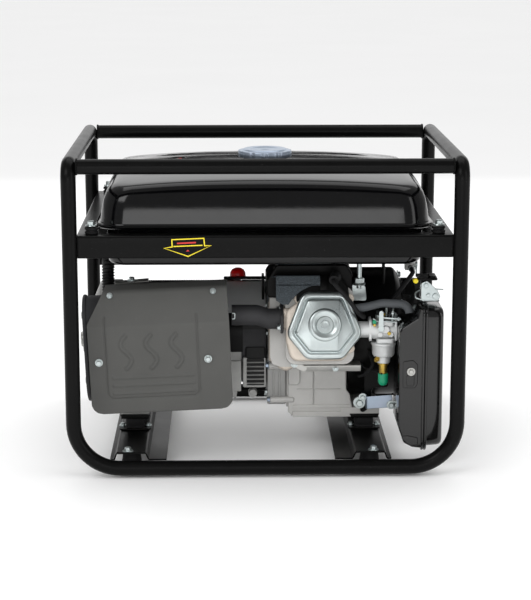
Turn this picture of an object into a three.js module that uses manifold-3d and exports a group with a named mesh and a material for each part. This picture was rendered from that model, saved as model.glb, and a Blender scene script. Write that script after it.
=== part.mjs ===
// Open-frame portable generator: a single-cylinder petrol engine drives an alternator on one shaft,
// both hung on rubber mounts inside a bent-tube frame with the fuel tank on top.
// Millimetres. +X runs from the alternator to the recoil starter, -Y is the engine-head side,
// +Y is the control-panel side and +Z is up. The origin is the middle of the footprint on the floor.
import * as THREE from "three";
import { mergeVertices } from "three/addons/utils/BufferGeometryUtils.js";
import Module from "manifold-3d";

const wasm = await Module();
wasm.setup();

// ---- driving dimensions ----
const LENGTH = 690; // over the frame tubes
const WIDTH = 550; // over the frame tubes
const HEIGHT = 558; // floor to the top of the frame
const TUBE_R = 13;
const FOOT_DROP = 3; // how far the rubber feet stand below the tubes
const LOWER_BEND = 80;
const UPPER_BEND = 26;
const GAP = 0.3; // between pieces that rest on each other
const SHEET = 2.5;

const TUBE_X = LENGTH / 2 - TUBE_R;
const TUBE_Y = WIDTH / 2 - TUBE_R;
const LOW_TUBE_Z = FOOT_DROP + TUBE_R;
const TOP_TUBE_Z = HEIGHT - TUBE_R;
const RAIL_Y = TUBE_Y - 6;
const RAIL_Z = TOP_TUBE_Z - 3;
const INNER_X = TUBE_X - TUBE_R - 0.5; // half the clear width between the upright tubes

const CRANK_Z = 200;
const CYLINDER_TILT = THREE.MathUtils.degToRad(16.7);
const CYLINDER_X = 105;
const BORE_R = 44;
const STROKE = 64;

const TANK_SEAM_Z = 434.2;
const TANK_BOTTOM_Z = 362;
const TANK_HALF_X = 284;
const TANK_HALF_Y = 232;
const NECK = { x: 4, y: 0, r: 40, bore: 36, top: 523.5 };
const CAP_TOP_Z = 540.8;

const APRON_Z = [386, 425];
const CROWN_X = [-234, 183]; // middle of each base channel's raised crown, where the mounts stand
const CROWN_Z = 40;
const MOUNT_Y = 85;
const MOUNT_TOP_Z = 68;

const MUFFLER_AT = [-184, -160, 215];
const MUFFLER_TILT = THREE.MathUtils.degToRad(-2.5);

const STATOR_R = 97;
const ROTOR_R = 76;
const FAN_R = 118;
const ROPE_R = 55;
const ROPE_X = 272;

const CARB = { y: -168, z: 240 };
const CASE_Y = [-226, -120];
const JOINT_X = 278; // plane where the air-filter case meets its cover

const PANEL_X = [-316, 298];
const PANEL_Z = [285, 385];
const PANEL_Y = 252; // inner side of the control panel's front plate
const OUTLET_Z = 332;
const OUTLET_X = [60, 130];

// ---- finishes: colour, roughness, metalness ----
const FINISH = {
  blackPaint: [0x191a1a, 0.35, 0.1],
  tankPaint: [0x101010, 0.15, 0.1],
  castAluminium: [0xb9b3aa, 0.6, 0.8],
  darkCasting: [0x9e9e9c, 0.6, 0.7],
  zinc: [0xa8b8bc, 0.3, 0.9],
  blueZinc: [0xa7bac8, 0.3, 0.9],
  heatPaint: [0x5a5956, 0.7, 0.2],
  castIron: [0x3c3c3e, 0.8, 0.5],
  steel: [0x9a9a98, 0.35, 1],
  rubber: [0x1b1b1b, 0.85, 0],
  hose: [0x56595c, 0.6, 0],
  plastic: [0x1c1c1c, 0.45, 0],
  hammered: [0x39424c, 0.4, 0.4],
  foam: [0x3b3f45, 0.95, 0],
  copper: [0x8c4a2c, 0.5, 0.9],
  redPlastic: [0x9a1010, 0.4, 0],
};

const generator = new THREE.Group();

function add(name, geometry, finish, parent = generator) {
  const [color, roughness, metalness] = FINISH[finish];
  const material = new THREE.MeshStandardMaterial({ color, roughness, metalness });
  const mesh = new THREE.Mesh(geometry, material);
  mesh.name = name;
  parent.add(mesh);
}

// ---- solids: booleans on closed geometries ----
function solid(geometry) {
  const bare = geometry.clone();
  bare.deleteAttribute("normal");
  bare.deleteAttribute("uv");
  const merged = mergeVertices(bare, 1e-3);
  const triVerts = new Uint32Array(merged.index.array);
  const vertProperties = merged.attributes.position.array;
  const made = new wasm.Manifold(new wasm.Mesh({ numProp: 3, vertProperties, triVerts }));
  if (made.volume() > 0) return made;
  for (let i = 0; i < triVerts.length; i += 3) {
    [triVerts[i + 1], triVerts[i + 2]] = [triVerts[i + 2], triVerts[i + 1]];
  }
  return new wasm.Manifold(new wasm.Mesh({ numProp: 3, vertProperties, triVerts }));
}

function geometryOf(body) {
  const mesh = body.getMesh();
  const geometry = new THREE.BufferGeometry();
  geometry.setAttribute("position", new THREE.BufferAttribute(mesh.vertProperties, 3));
  geometry.setIndex(new THREE.BufferAttribute(mesh.triVerts, 1));
  return geometry;
}

function join(...geometries) {
  const bodies = geometries.map(solid);
  return geometryOf(bodies.reduce((sum, body) => sum.add(body)));
}

function cut(geometry, ...tools) {
  return geometryOf(tools.reduce((left, tool) => left.subtract(solid(tool)), solid(geometry)));
}

function common(...geometries) {
  const bodies = geometries.map(solid);
  return geometryOf(bodies.reduce((sum, body) => sum.intersect(body)));
}

// ---- shapes ----
function box(x0, x1, y0, y1, z0, z1) {
  const geometry = new THREE.BoxGeometry(x1 - x0, y1 - y0, z1 - z0);
  return geometry.translate((x0 + x1) / 2, (y0 + y1) / 2, (z0 + z1) / 2);
}

function rodX(r, x0, x1, y, z, sides = 24) {
  const geometry = new THREE.CylinderGeometry(r, r, x1 - x0, sides).rotateZ(Math.PI / 2);
  return geometry.translate((x0 + x1) / 2, y, z);
}

function rodY(r, y0, y1, x, z, sides = 24) {
  return new THREE.CylinderGeometry(r, r, y1 - y0, sides).translate(x, (y0 + y1) / 2, z);
}

function rodZ(r, z0, z1, x, y, sides = 24) {
  const geometry = new THREE.CylinderGeometry(r, r, z1 - z0, sides).rotateX(Math.PI / 2);
  return geometry.translate(x, y, (z0 + z1) / 2);
}

// A closed outline whose corners are rounded: each corner is [a, b] or [a, b, radius].
function outline(corners, radius = 0) {
  const shape = new THREE.Shape();
  const count = corners.length;
  corners.forEach((corner, i) => {
    const here = new THREE.Vector2(corner[0], corner[1]);
    const before = new THREE.Vector2(...corners[(i + count - 1) % count].slice(0, 2));
    const after = new THREE.Vector2(...corners[(i + 1) % count].slice(0, 2));
    const r = corner[2] ?? radius;
    const enter = here.clone().add(before.sub(here).setLength(r));
    const leave = here.clone().add(after.sub(here).setLength(r));
    if (i === 0) shape.moveTo(enter.x, enter.y);
    else shape.lineTo(enter.x, enter.y);
    if (r > 0) shape.quadraticCurveTo(here.x, here.y, leave.x, leave.y);
  });
  return shape;
}

function rectangle(a0, a1, b0, b1, radius = 0) {
  return outline([[a0, b0], [a1, b0], [a1, b1], [a0, b1]], radius);
}

function plateZ(shape, z0, z1, curveSegments = 4) {
  const settings = { depth: z1 - z0, bevelEnabled: false, curveSegments };
  return new THREE.ExtrudeGeometry(shape, settings).translate(0, 0, z0);
}

// The outline is drawn in X and Z.
function plateY(shape, y0, y1, curveSegments = 4) {
  return plateZ(shape, 0, y1 - y0, curveSegments).rotateX(Math.PI / 2).translate(0, y1, 0);
}

// The outline is drawn in Y and Z.
function plateX(shape, x0, x1, curveSegments = 4) {
  const axes = new THREE.Matrix4().makeBasis(
    new THREE.Vector3(0, 1, 0),
    new THREE.Vector3(0, 0, 1),
    new THREE.Vector3(1, 0, 0),
  );
  return plateZ(shape, 0, x1 - x0, curveSegments).applyMatrix4(axes).translate(x0, 0, 0);
}

// Turned about the crankshaft's axis; the profile is closed, in [x, radius] pairs.
function turnedX(profile, sides = 28) {
  const points = profile.map(([x, r]) => new THREE.Vector2(r, x));
  points.push(points[0].clone());
  const ring = new THREE.LatheGeometry(points, sides);
  return geometryOf(solid(ring.rotateZ(-Math.PI / 2).translate(0, 0, CRANK_Z)));
}

// Straight runs joined by round bends: each corner is [x, y, z] or [x, y, z, bend radius].
class BendPath extends THREE.Curve {
  constructor(corners, bend, bendSteps) {
    super();
    this.stops = [];
    this.headings = [];
    const at = corners.map((c) => new THREE.Vector3(c[0], c[1], c[2]));
    at.forEach((corner, i) => {
      const before = i > 0 ? corner.clone().sub(at[i - 1]).normalize() : null;
      const after = i < at.length - 1 ? at[i + 1].clone().sub(corner).normalize() : null;
      if (!before || !after) {
        this.stops.push(corner);
        this.headings.push((before ?? after).clone());
        return;
      }
      this.addBend(corner, before, after, corners[i][3] ?? bend, bendSteps);
    });
  }

  addBend(corner, before, after, radius, steps) {
    const angle = before.angleTo(after);
    const start = corner.clone().addScaledVector(before, -radius * Math.tan(angle / 2));
    const inward = after.clone().addScaledVector(before, -before.dot(after)).normalize();
    for (let k = 0; k <= steps; k++) {
      const turn = (angle * k) / steps;
      const stop = start.clone();
      stop.addScaledVector(before, radius * Math.sin(turn));
      stop.addScaledVector(inward, radius * (1 - Math.cos(turn)));
      const heading = before.clone().multiplyScalar(Math.cos(turn));
      this.stops.push(stop);
      this.headings.push(heading.addScaledVector(inward, Math.sin(turn)));
    }
  }

  getSpacedPoints() {
    return this.stops;
  }

  getTangentAt(u) {
    return this.headings[Math.round(u * (this.stops.length - 1))].clone();
  }
}

function tube(radius, corners, bend, sides = 10, bendSteps = 4) {
  const path = new BendPath(corners, bend, bendSteps);
  const section = new THREE.Shape();
  for (let k = 0; k < sides; k++) {
    const turn = (2 * Math.PI * k) / sides;
    const point = [radius * Math.cos(turn), radius * Math.sin(turn)];
    if (k === 0) section.moveTo(...point);
    else section.lineTo(...point);
  }
  section.closePath();
  const settings = { steps: path.stops.length - 1, extrudePath: path };
  return new THREE.ExtrudeGeometry(section, settings);
}

// ---- frame ----
function frameLoop(side) {
  const y = side * TUBE_Y;
  const end = (side * GAP) / 2;
  const corners = [
    [-TUBE_X, end, TOP_TUBE_Z],
    [-TUBE_X, y, TOP_TUBE_Z, UPPER_BEND],
    [-TUBE_X, y, LOW_TUBE_Z, LOWER_BEND],
    [TUBE_X, y, LOW_TUBE_Z, LOWER_BEND],
    [TUBE_X, y, TOP_TUBE_Z, UPPER_BEND],
    [TUBE_X, end, TOP_TUBE_Z],
  ];
  return tube(TUBE_R, corners, LOWER_BEND, 14, 5);
}

function tankSupportFrame() {
  const [low, high] = APRON_Z;
  const y = TUBE_Y;
  const sideY = TUBE_Y - TUBE_R - 0.6;
  const pieces = [];
  for (const side of [-1, 1]) {
    const web = side * y;
    pieces.push(box(-INNER_X, INNER_X, web - 1.5, web + 1.5, low, high));
    const inward = [web, web - side * 32].sort((a, b) => a - b);
    pieces.push(box(-INNER_X, INNER_X, ...inward, high - 3, high));
    const x = side * (INNER_X + 2);
    pieces.push(box(x - 1.5, x + 1.5, -sideY, sideY, low, high));
    const across = [x, x - side * 34].sort((a, b) => a - b);
    pieces.push(box(...across, -sideY, sideY, high - 3, high));
  }
  return join(...pieces);
}

// Folded hat channel; its narrow flange faces the near end of the frame.
function baseChannel(crownX, outward) {
  const end = TUBE_Y - TUBE_R - 0.5;
  const x = (offset) => crownX + outward * offset;
  const top = [[x(10 + 28), 26], [x(38), 29], [x(31), 29], [x(27), CROWN_Z], [x(-27), CROWN_Z]];
  const far = [[x(-32), 29], [x(-63), 29], [x(-63), 26], [x(-30), 26], [x(-25), CROWN_Z - 3]];
  const under = [[x(25), CROWN_Z - 3], [x(29), 26]];
  return plateY(outline([...top, ...far, ...under]), -end, end);
}

function rubberFoot(x, y) {
  return rodZ(21, 0, CROWN_Z - 3 - GAP, x, y, 16);
}

function vibrationMount(x, y) {
  const base = CROWN_Z + GAP;
  const lower = box(x - 29, x + 29, y - 23, y + 23, base, base + 3);
  const rubber = box(x - 18, x + 18, y - 18, y + 18, base + 2, MOUNT_TOP_Z - 2);
  const upper = box(x - 27, x + 27, y - 21, y + 21, MOUNT_TOP_Z - 3, MOUNT_TOP_Z);
  return join(lower, rubber, upper);
}

// ---- fuel tank ----
// A crowned lid: the front and the side profile cut through each other over a round-cornered plan.
function tankDome(halfX, halfY, drop) {
  const base = TANK_SEAM_Z - 1;
  const front = outline([
    [halfX, base],
    [halfX - 9, 488 - drop],
    [halfX - 23, 500 - drop],
    [halfX - 140, 515 - drop],
    [0, 521 - drop],
    [140 - halfX, 515 - drop],
    [23 - halfX, 500 - drop],
    [9 - halfX, 488 - drop],
    [-halfX, base],
  ]);
  const side = outline([
    [halfY, base],
    [halfY - 6, 484 - drop],
    [halfY - 22, 500 - drop],
    [halfY - 110, 518 - drop],
    [0, 523 - drop],
    [110 - halfY, 518 - drop],
    [22 - halfY, 500 - drop],
    [6 - halfY, 484 - drop],
    [-halfY, base],
  ]);
  const plan = rectangle(-halfX, halfX, -halfY, halfY, 48);
  return common(
    plateY(front, -halfY, halfY),
    plateX(side, -halfX, halfX),
    plateZ(plan, base, HEIGHT),
  );
}

function tankFlange(z0, z1) {
  const edge = 8;
  const x = TANK_HALF_X + edge;
  const y = TANK_HALF_Y + edge;
  return plateZ(rectangle(-x, x, -y, y, 54), z0, z1);
}

function fuelTankUpper() {
  const flange = tankFlange(TANK_SEAM_Z + GAP, TANK_SEAM_Z + 3);
  const neck = rodZ(NECK.r, 508, NECK.top, NECK.x, NECK.y, 28);
  const outer = join(tankDome(TANK_HALF_X, TANK_HALF_Y, 0), flange, neck);
  const hollow = tankDome(TANK_HALF_X - 3, TANK_HALF_Y - 3, 3).translate(0, 0, -0.5);
  const bore = rodZ(NECK.bore, 490, NECK.top + 1, NECK.x, NECK.y, 28);
  const below = box(-330, 330, -270, 270, 400, TANK_SEAM_Z + GAP);
  return cut(outer, hollow, bore, below);
}

function fuelTankLower() {
  const x = TANK_HALF_X - 10;
  const y = 205;
  const flange = tankFlange(TANK_SEAM_Z - 3, TANK_SEAM_Z);
  const pan = plateZ(rectangle(-x, x, -y, y, 40), TANK_BOTTOM_Z, TANK_SEAM_Z - 1);
  const inside = rectangle(-x + 3, x - 3, -y + 3, y - 3, 38);
  return cut(join(pan, flange), plateZ(inside, TANK_BOTTOM_Z + 3, TANK_SEAM_Z + 1));
}

function fuelStrainer() {
  const outer = rodZ(NECK.bore - 2, 474, NECK.top - 2, NECK.x, NECK.y, 20);
  return cut(outer, rodZ(NECK.bore - 4, 476, NECK.top, NECK.x, NECK.y, 20));
}

function capGasket() {
  const low = NECK.top + GAP;
  const ring = rodZ(NECK.r - 0.5, low, low + 2.2, NECK.x, NECK.y, 20);
  return cut(ring, rodZ(NECK.bore, low - 1, low + 4, NECK.x, NECK.y, 20));
}

// A thick disc on the gasket, with a scalloped rim for the fingers and a raised middle.
function fuelCap() {
  const low = NECK.top + 2.8;
  const rimTop = CAP_TOP_Z - 2.5;
  const rim = new THREE.Shape();
  const steps = 36;
  for (let k = 0; k < steps; k++) {
    const turn = (2 * Math.PI * k) / steps;
    const r = k % 3 === 2 ? 46.5 : 49;
    const point = [NECK.x + r * Math.cos(turn), NECK.y + r * Math.sin(turn)];
    if (k === 0) rim.moveTo(...point);
    else rim.lineTo(...point);
  }
  rim.closePath();
  return join(plateZ(rim, low, rimTop), rodZ(40, rimTop - 1, CAP_TOP_Z, NECK.x, NECK.y, 24));
}

function fuelGauge() {
  return join(rodZ(16, 516, 521, -153, 0, 20), rodZ(13, 520, 524, -153, 0, 20));
}

// ---- fuel valve ----
const VALVE = { x: 266, y: -60, z: 336 };

function fuelValve() {
  const { x, y, z } = VALVE;
  const inlet = rodZ(7, z, TANK_BOTTOM_Z - GAP, x, y, 12);
  const nut = rodZ(11, z + 14, z + 20, x, y, 6);
  const body = box(x - 9, x + 9, y - 10, y + 10, z - 9, z + 8);
  const spout = rodY(4.5, y - 24, y - 9, x, z - 3, 12);
  return join(inlet, nut, body, spout);
}

function fuelValveLever() {
  const { x, y, z } = VALVE;
  const face = x + 9 + GAP;
  const hub = rodX(8, face, face + 4, y, z, 16);
  const arm = box(face + 1, face + 4, y - 4, y + 4, z - 23, z);
  return join(hub, arm);
}

function fuelHose() {
  const start = VALVE.y - 24 - GAP;
  const z = VALVE.z - 3;
  const corners = [
    [VALVE.x, start, z],
    [VALVE.x, -122, z],
    [232, -150, 296],
    [222, -160, 284],
    [222, -160, CARB.z + 18 + GAP],
  ];
  return tube(4, corners, 12, 8, 3);
}

// ---- engine ----
// The cylinder's own frame: -Y runs along the bore away from the crankshaft.
const cylinderFrame = new THREE.Group();
cylinderFrame.position.set(0, 0, CRANK_Z);
cylinderFrame.rotation.x = -CYLINDER_TILT;
generator.add(cylinderFrame);

function toCrankcase(geometry) {
  return geometry.rotateX(-CYLINDER_TILT).translate(0, 0, CRANK_Z);
}

// Cooling fins: full-size plates over a smaller core, from near to far along the bore.
function finStack(x0, x1, z0, z1, near, far, fins, depth) {
  const core = rectangle(x0 + depth, x1 - depth, z0 + depth, z1 - depth, 14);
  const full = rectangle(x0, x1, z0, z1, 18);
  const pieces = [plateY(core, near, far, 2)];
  const pitch = (far - near - 4) / (fins - 1);
  for (let k = 0; k < fins; k++) {
    const start = near + k * pitch;
    pieces.push(plateY(full, start, start + 4, 2));
  }
  return pieces;
}

const HEAD_NEAR = -192;
const HEAD_FAR = -146.3;
const BLOCK_FAR = -104;

function crankcase() {
  const block = finStack(10, 150, -74, 80, HEAD_FAR + GAP, BLOCK_FAR, 5, 8).map(toCrankcase);
  const barrel = toCrankcase(rodY(56, BLOCK_FAR - 2, -60, CYLINDER_X, 0, 24));
  const shell = plateX(rectangle(-95, 95, 75, 288, 22), 41.6, 150);
  const sump = plateX(rectangle(-86, 86, 58, 90, 10), 50, 152);
  const feet = box(140, 210, -104, 104, MOUNT_TOP_Z + GAP, MOUNT_TOP_Z + 12);
  const fillBoss = rodY(17, 90, 96, 75, 112, 16);
  const body = join(shell, sump, feet, barrel, fillBoss, ...block);
  const chamber = rodX(62, 41, 140, 0, CRANK_Z, 24);
  const shaftHole = rodX(16.5, 130, 151, 0, CRANK_Z);
  const bore = toCrankcase(rodY(BORE_R + 0.8, -147, -30, CYLINDER_X, 0, 24));
  const dipHole = rodY(6, 20, 97, 75, 112, 12);
  return cut(body, chamber, shaftHole, bore, dipHole);
}

function crankcaseCover() {
  const plate = plateX(rectangle(-88, 88, 86, 282, 30), 5, 36);
  const rim = plateX(rectangle(-88, 88, 82, 286, 30), 33, 41.3);
  const hole = rodX(18.6, 4, 42, 0, CRANK_Z);
  const lightening = rodX(60, 25, 42, 0, CRANK_Z, 28);
  return cut(join(plate, rim), hole, lightening);
}

function cylinderHead() {
  const fins = finStack(36, 158, -72, 68, HEAD_NEAR, HEAD_FAR, 5, 7);
  return join(...fins, rodX(21, 33.3, 44, -168, 11, 16));
}

function valveCover() {
  const hexagon = [[66, 55], [144, 55], [172, -20], [136, -64], [72, -64], [37, -20]];
  const inset = hexagon.map(([x, z]) => [105 + (x - 105) * 0.82, -4 + (z + 4) * 0.82]);
  const near = -206;
  return join(
    plateY(outline(hexagon, 17), near + 4, HEAD_NEAR - GAP),
    plateY(outline(inset, 14), near, near + 6),
    rodY(29, near - 3, near + 4, CYLINDER_X, -4, 24),
    rodY(9, near - 9, near, CYLINDER_X, -4, 6),
  );
}

function headShroud() {
  const near = HEAD_NEAR - GAP;
  const top = box(5.5, 100, near - 2.5, -78, 83, 85.5);
  const lip = box(20, 100, near - 2.5, near, 38, 85);
  const side = box(5.5, 8, -150, -112, 40, 85.5);
  return cut(join(top, lip, side), rodY(72, -230, -180, CYLINDER_X, -4, 32));
}

function piston() {
  const crown = HEAD_FAR + 5;
  const body = rodY(BORE_R - 0.2, crown, crown + 30, CYLINDER_X, 0, 24);
  return cut(body, rodY(BORE_R - 7, crown + 7, crown + 31, CYLINDER_X, 0, 20));
}

function crankshaft() {
  const throwZ = CRANK_Z + STROKE / 2;
  return join(
    rodX(17.5, -12, 80, 0, CRANK_Z),
    rodX(43.5, 79, 90, 0, CRANK_Z, 28),
    rodX(11.5, 89, 121, 0, throwZ, 16),
    rodX(43.5, 120, 131, 0, CRANK_Z, 28),
    rodX(15, 130, 244, 0, CRANK_Z),
  );
}

function flywheel() {
  const rim = turnedX([[196, 15.6], [196, 98], [220, 98], [220, 90], [206, 84], [206, 15.6]], 24);
  const hub = turnedX([[176, 15.6], [176, 26], [228, 26], [228, 15.6]], 20);
  const vanes = [];
  const count = 8;
  for (let k = 0; k < count; k++) {
    const vane = box(205, 236, -2, 2, 46, 92).rotateX((2 * Math.PI * k) / count);
    vanes.push(vane.translate(0, 0, CRANK_Z));
  }
  return join(rim, hub, ...vanes);
}

function fanHousing() {
  return turnedX([
    [153, FAN_R], [240, FAN_R], [250, FAN_R - 12], [250, 64],
    [247, 64], [247, FAN_R - 14], [238, FAN_R - 4], [153, FAN_R - 4],
  ]);
}

function oilDipstick() {
  const knob = rodY(15, 96 + GAP, 108, 75, 112, 14);
  const ear = box(71, 79, 107, 114, 101, 123);
  return join(knob, ear, rodY(3.5, 26, 98, 75, 112, 10));
}

// ---- recoil starter ----
const EYELET_Y = 100;
const ROPE_Z = CRANK_Z + ROPE_R;

function recoilHousing() {
  const dish = turnedX([
    [250.3, 98], [284, 98], [293, 88], [293, 20],
    [290, 20], [290, 86], [282, 94.5], [250.3, 94.5],
  ]);
  const eyelet = box(ROPE_X - 10, ROPE_X + 10, 74, EYELET_Y, ROPE_Z - 9, ROPE_Z + 9);
  const body = join(dish, eyelet);
  const vents = [];
  const count = 6;
  for (let k = 0; k < count; k++) {
    const slot = box(284, 300, -5, 5, 34, 78).rotateX((2 * Math.PI * (k + 0.5)) / count);
    vents.push(slot.translate(0, 0, CRANK_Z));
  }
  return cut(body, rodY(3.5, 60, EYELET_Y + 1, ROPE_X, ROPE_Z, 10), ...vents);
}

function recoilPulley() {
  const half = 7;
  return turnedX([
    [ROPE_X - 12, 5], [ROPE_X - 12, 16], [ROPE_X - half, 16], [ROPE_X - half, ROPE_R + 3],
    [ROPE_X - 4, ROPE_R + 3], [ROPE_X - 3, ROPE_R - 3], [ROPE_X + 3, ROPE_R - 3],
    [ROPE_X + 4, ROPE_R + 3], [ROPE_X + half, ROPE_R + 3], [ROPE_X + half, 12],
    [ROPE_X + 16, 12], [ROPE_X + 16, 5],
  ], 20);
}

function starterGrip() {
  const stem = rodY(7, EYELET_Y + GAP, 118, ROPE_X, ROPE_Z, 12);
  return join(stem, rodX(11.5, ROPE_X - 36, ROPE_X + 36, 124, ROPE_Z, 14));
}

// ---- ignition, carburettor and intake ----
function sparkPlug() {
  const boot = tube(9, [[128, -148, 328], [124, -168, 337], [121, -186, 332]], 14, 10, 3);
  const lead = tube(4, [
    [124, -168, 337], [119, -194, 330, 8], [146, -198, 300], [163, -197, 276],
    [174, -178, 264], [176, -112, 262],
  ], 14, 8, 3);
  return join(boot, lead);
}

function carburettor() {
  const { y, z } = CARB;
  return join(
    rodX(15, 158.6, 233, y, z, 20),
    box(158.6, 163, y - 14, y + 22, z - 20, z + 20),
    box(184, 188, y - 22, y + 22, z - 22, z + 22),
    box(196, 228, y - 18, y + 18, z - 22, z + 18),
    box(229, 233, y - 20, y + 20, z - 20, z + 20),
  );
}

const BOWL_X = 210.5;

function floatBowl() {
  const top = CARB.z - 22 - GAP;
  return join(
    rodZ(22, top - 5, top, BOWL_X, CARB.y, 24),
    rodZ(20.5, top - 26, top - 4, BOWL_X, CARB.y, 24),
    rodZ(13, top - 38, top - 25, BOWL_X, CARB.y, 20),
    rodZ(7.5, top - 60, top - 37, BOWL_X, CARB.y, 16),
    rodZ(9, top - 79, top - 59, BOWL_X, CARB.y, 16),
  );
}

// The lever's shaft sticks out of the carburettor towards the engine-head side.
function chokeLever() {
  const face = CARB.y - 18 - GAP;
  const hub = rodY(6, face - 5, face, 204, CARB.z + 6, 14);
  const arm = box(200.5, 207.5, face - 5, face - 2.5, CARB.z + 6, CARB.z + 38);
  return join(hub, arm);
}

function throttleArm() {
  const low = CARB.z + 18 + GAP;
  const hub = rodZ(7, low, low + 7, 203, CARB.y + 8, 14);
  const arm = box(199.5, 206.5, CARB.y + 8, CARB.y + 42, low + 4.5, low + 7);
  return join(hub, arm);
}

function breatherHose() {
  const corners = [
    [160.5, -173, 279], [178, -176, 282], [206, -180, 290], [252, -182, 288, 18], [254, -186, 273],
  ];
  return tube(7.5, corners, 20, 10, 3);
}

const CASE_SIDE = [
  [233.5, 78], [243, 48], [258, 40], [JOINT_X - GAP, 38],
  [JOINT_X - GAP, 290], [268, 288], [264, 272], [237, 254], [233.5, 248],
];
const CASE_HOLLOW = [
  [237, 80], [246, 51], [259, 43.5], [JOINT_X + 1, 41.5],
  [JOINT_X + 1, 286], [271, 285], [267, 269.5], [239, 251.5], [237, 247],
];

function filterFlange(x0, x1) {
  return plateX(rectangle(CASE_Y[0] - 6, CASE_Y[1] + 6, 32, 296, 18), x0, x1, 3);
}

function airFilterCase() {
  const shell = plateY(outline(CASE_SIDE), ...CASE_Y);
  const body = join(shell, filterFlange(JOINT_X - 4, JOINT_X - GAP));
  const hollow = plateY(outline(CASE_HOLLOW), CASE_Y[0] + 3, CASE_Y[1] - 3);
  return cut(body, hollow, rodX(14, 230, 240, CARB.y, CARB.z, 20));
}

function airFilterCover() {
  const near = JOINT_X + GAP;
  const side = rectangle(CASE_Y[0], CASE_Y[1], 39, 291, 16);
  const inside = rectangle(CASE_Y[0] + 3, CASE_Y[1] - 3, 42, 288, 14);
  const body = join(plateX(side, near, 311, 3), filterFlange(near, near + 4));
  return cut(body, plateX(inside, near - 1, 308, 3));
}

function airFilterElement() {
  return plateX(rectangle(CASE_Y[0] + 8, CASE_Y[1] - 8, 70, 262, 10), 262, 300, 2);
}

// ---- exhaust ----
const mufflerFrame = new THREE.Group();
mufflerFrame.position.set(...MUFFLER_AT);
mufflerFrame.rotation.y = MUFFLER_TILT;
generator.add(mufflerFrame);

function exhaustElbow() {
  const y = -159;
  const flange = plateX(outline([
    [y - 30, 240], [y - 14, 234], [y + 16, 256], [y + 30, 274], [y + 16, 284], [y - 20, 268],
  ], 7), 27.6, 33);
  const pipe = tube(18.5, [[29, y, 258], [8, y, 258], [-14, y, 265], [-58, y, 265]], 26, 16, 3);
  return join(flange, pipe);
}

function mufflerBody() {
  const outer = plateX(rectangle(-45, 48, -100, 95, 45), -132, 120);
  const inner = plateX(rectangle(-43, 46, -98, 93, 43), -130, 118);
  const stub = rodX(13.5, -139, -128, 0, 14, 16);
  const opening = rodX(10.5, -140, -120, 0, 14, 16);
  return cut(join(outer, stub), inner, opening);
}

function heatShield() {
  const bend = [[-56, -110], [-56, 46], [-32, 104], [-8, 112]];
  const inner = bend.map(([y, z], i) => [y + 2.2, z - (i < 2 ? 0 : 1.8)]).reverse();
  const strip = plateX(outline([...bend, ...inner]), -130, 130);
  const front = outline([
    [-124, -110, 18], [125, -110, 18], [124, 46], [122, 113], [-87, 113], [-122, 50],
  ]);
  return common(strip, plateY(front, -80, 0));
}

// ---- alternator ----
function alternatorStator() {
  const ring = turnedX([[-286, STATOR_R], [-40, STATOR_R], [-40, 80], [-286, 80]]);
  const foot = box(-260, -208, -104, 104, MOUNT_TOP_Z + GAP, MOUNT_TOP_Z + 12);
  const saddle = box(-254, -214, -60, 60, MOUNT_TOP_Z + 6, 118);
  return join(ring, foot, saddle);
}

function alternatorAdapter() {
  const bell = turnedX([[-39.7, 95], [4.7, 95], [4.7, 60], [-4, 60], [-10, 86], [-39.7, 86]]);
  const louvres = [];
  for (let k = 0; k < 6; k++) {
    const z = 126 + 7.4 * k;
    louvres.push(box(-31, -11, -100, -40, z, z + 3.6));
  }
  return cut(bell, ...louvres);
}

function alternatorRotor() {
  const round = rodX(ROTOR_R, -262, -62, 0, CRANK_Z, 32);
  const poles = common(round, box(-270, -50, -90, 90, CRANK_Z - 56, CRANK_Z + 56));
  return join(
    poles,
    rodX(12, -306, -12.3, 0, CRANK_Z, 16),
    rodX(22, -282, -272, 0, CRANK_Z, 20),
  );
}

function alternatorEndCover() {
  return turnedX([
    [-286.3, STATOR_R], [-298, 95], [-309, 72], [-309, 13.5],
    [-303, 13.5], [-303, 68], [-294, 86], [-286.3, 88],
  ]);
}

function cableConduit() {
  const corners = [[-281, -60, 285], [-281, -60, 346, 24], [-281, 208, 346]];
  return tube(12, corners, 24, 12, 4);
}

// ---- control panel ----
function controlPanelBox() {
  const [x0, x1] = PANEL_X;
  const [z0, z1] = PANEL_Z;
  const outer = box(x0, x1, 208.3, PANEL_Y - GAP, z0, z1);
  return cut(outer, box(x0 + 2, x1 - 2, 210.3, PANEL_Y + 1, z0 + 2, z1 - 2));
}

function controlPanelPlate() {
  const front = PANEL_Y + SHEET;
  const pieces = [box(...PANEL_X, PANEL_Y, front, ...PANEL_Z)];
  const holes = [
    box(-125, -95, 240, 260, OUTLET_Z - 14, OUTLET_Z + 20),
    box(191, 209, 240, 260, OUTLET_Z - 18, OUTLET_Z + 14),
  ];
  for (const x of OUTLET_X) {
    pieces.push(rodY(27, PANEL_Y, front + 11, x, OUTLET_Z, 20));
    holes.push(rodY(22, front + 2, front + 12, x, OUTLET_Z, 20));
  }
  return cut(join(...pieces), ...holes);
}

function socketLid(x) {
  const near = PANEL_Y + SHEET + 11 + GAP;
  const disc = rodY(26, near, near + 4, x, OUTLET_Z, 20);
  const strap = box(x - 10, x + 10, near, near + 4, OUTLET_Z + 20, OUTLET_Z + 31);
  return join(disc, strap, rodX(3.4, x - 12, x + 12, near + 3.4, OUTLET_Z + 32, 10));
}

// A rocker with one end pressed in.
function engineSwitch() {
  const y = PANEL_Y - 3;
  const low = OUTLET_Z - 9;
  const high = OUTLET_Z + 15;
  const profile = outline([[y, low], [y + 9, low], [y + 7, OUTLET_Z + 3], [y + 13, high], [y, high]]);
  return plateX(profile, -122, -98);
}

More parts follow.
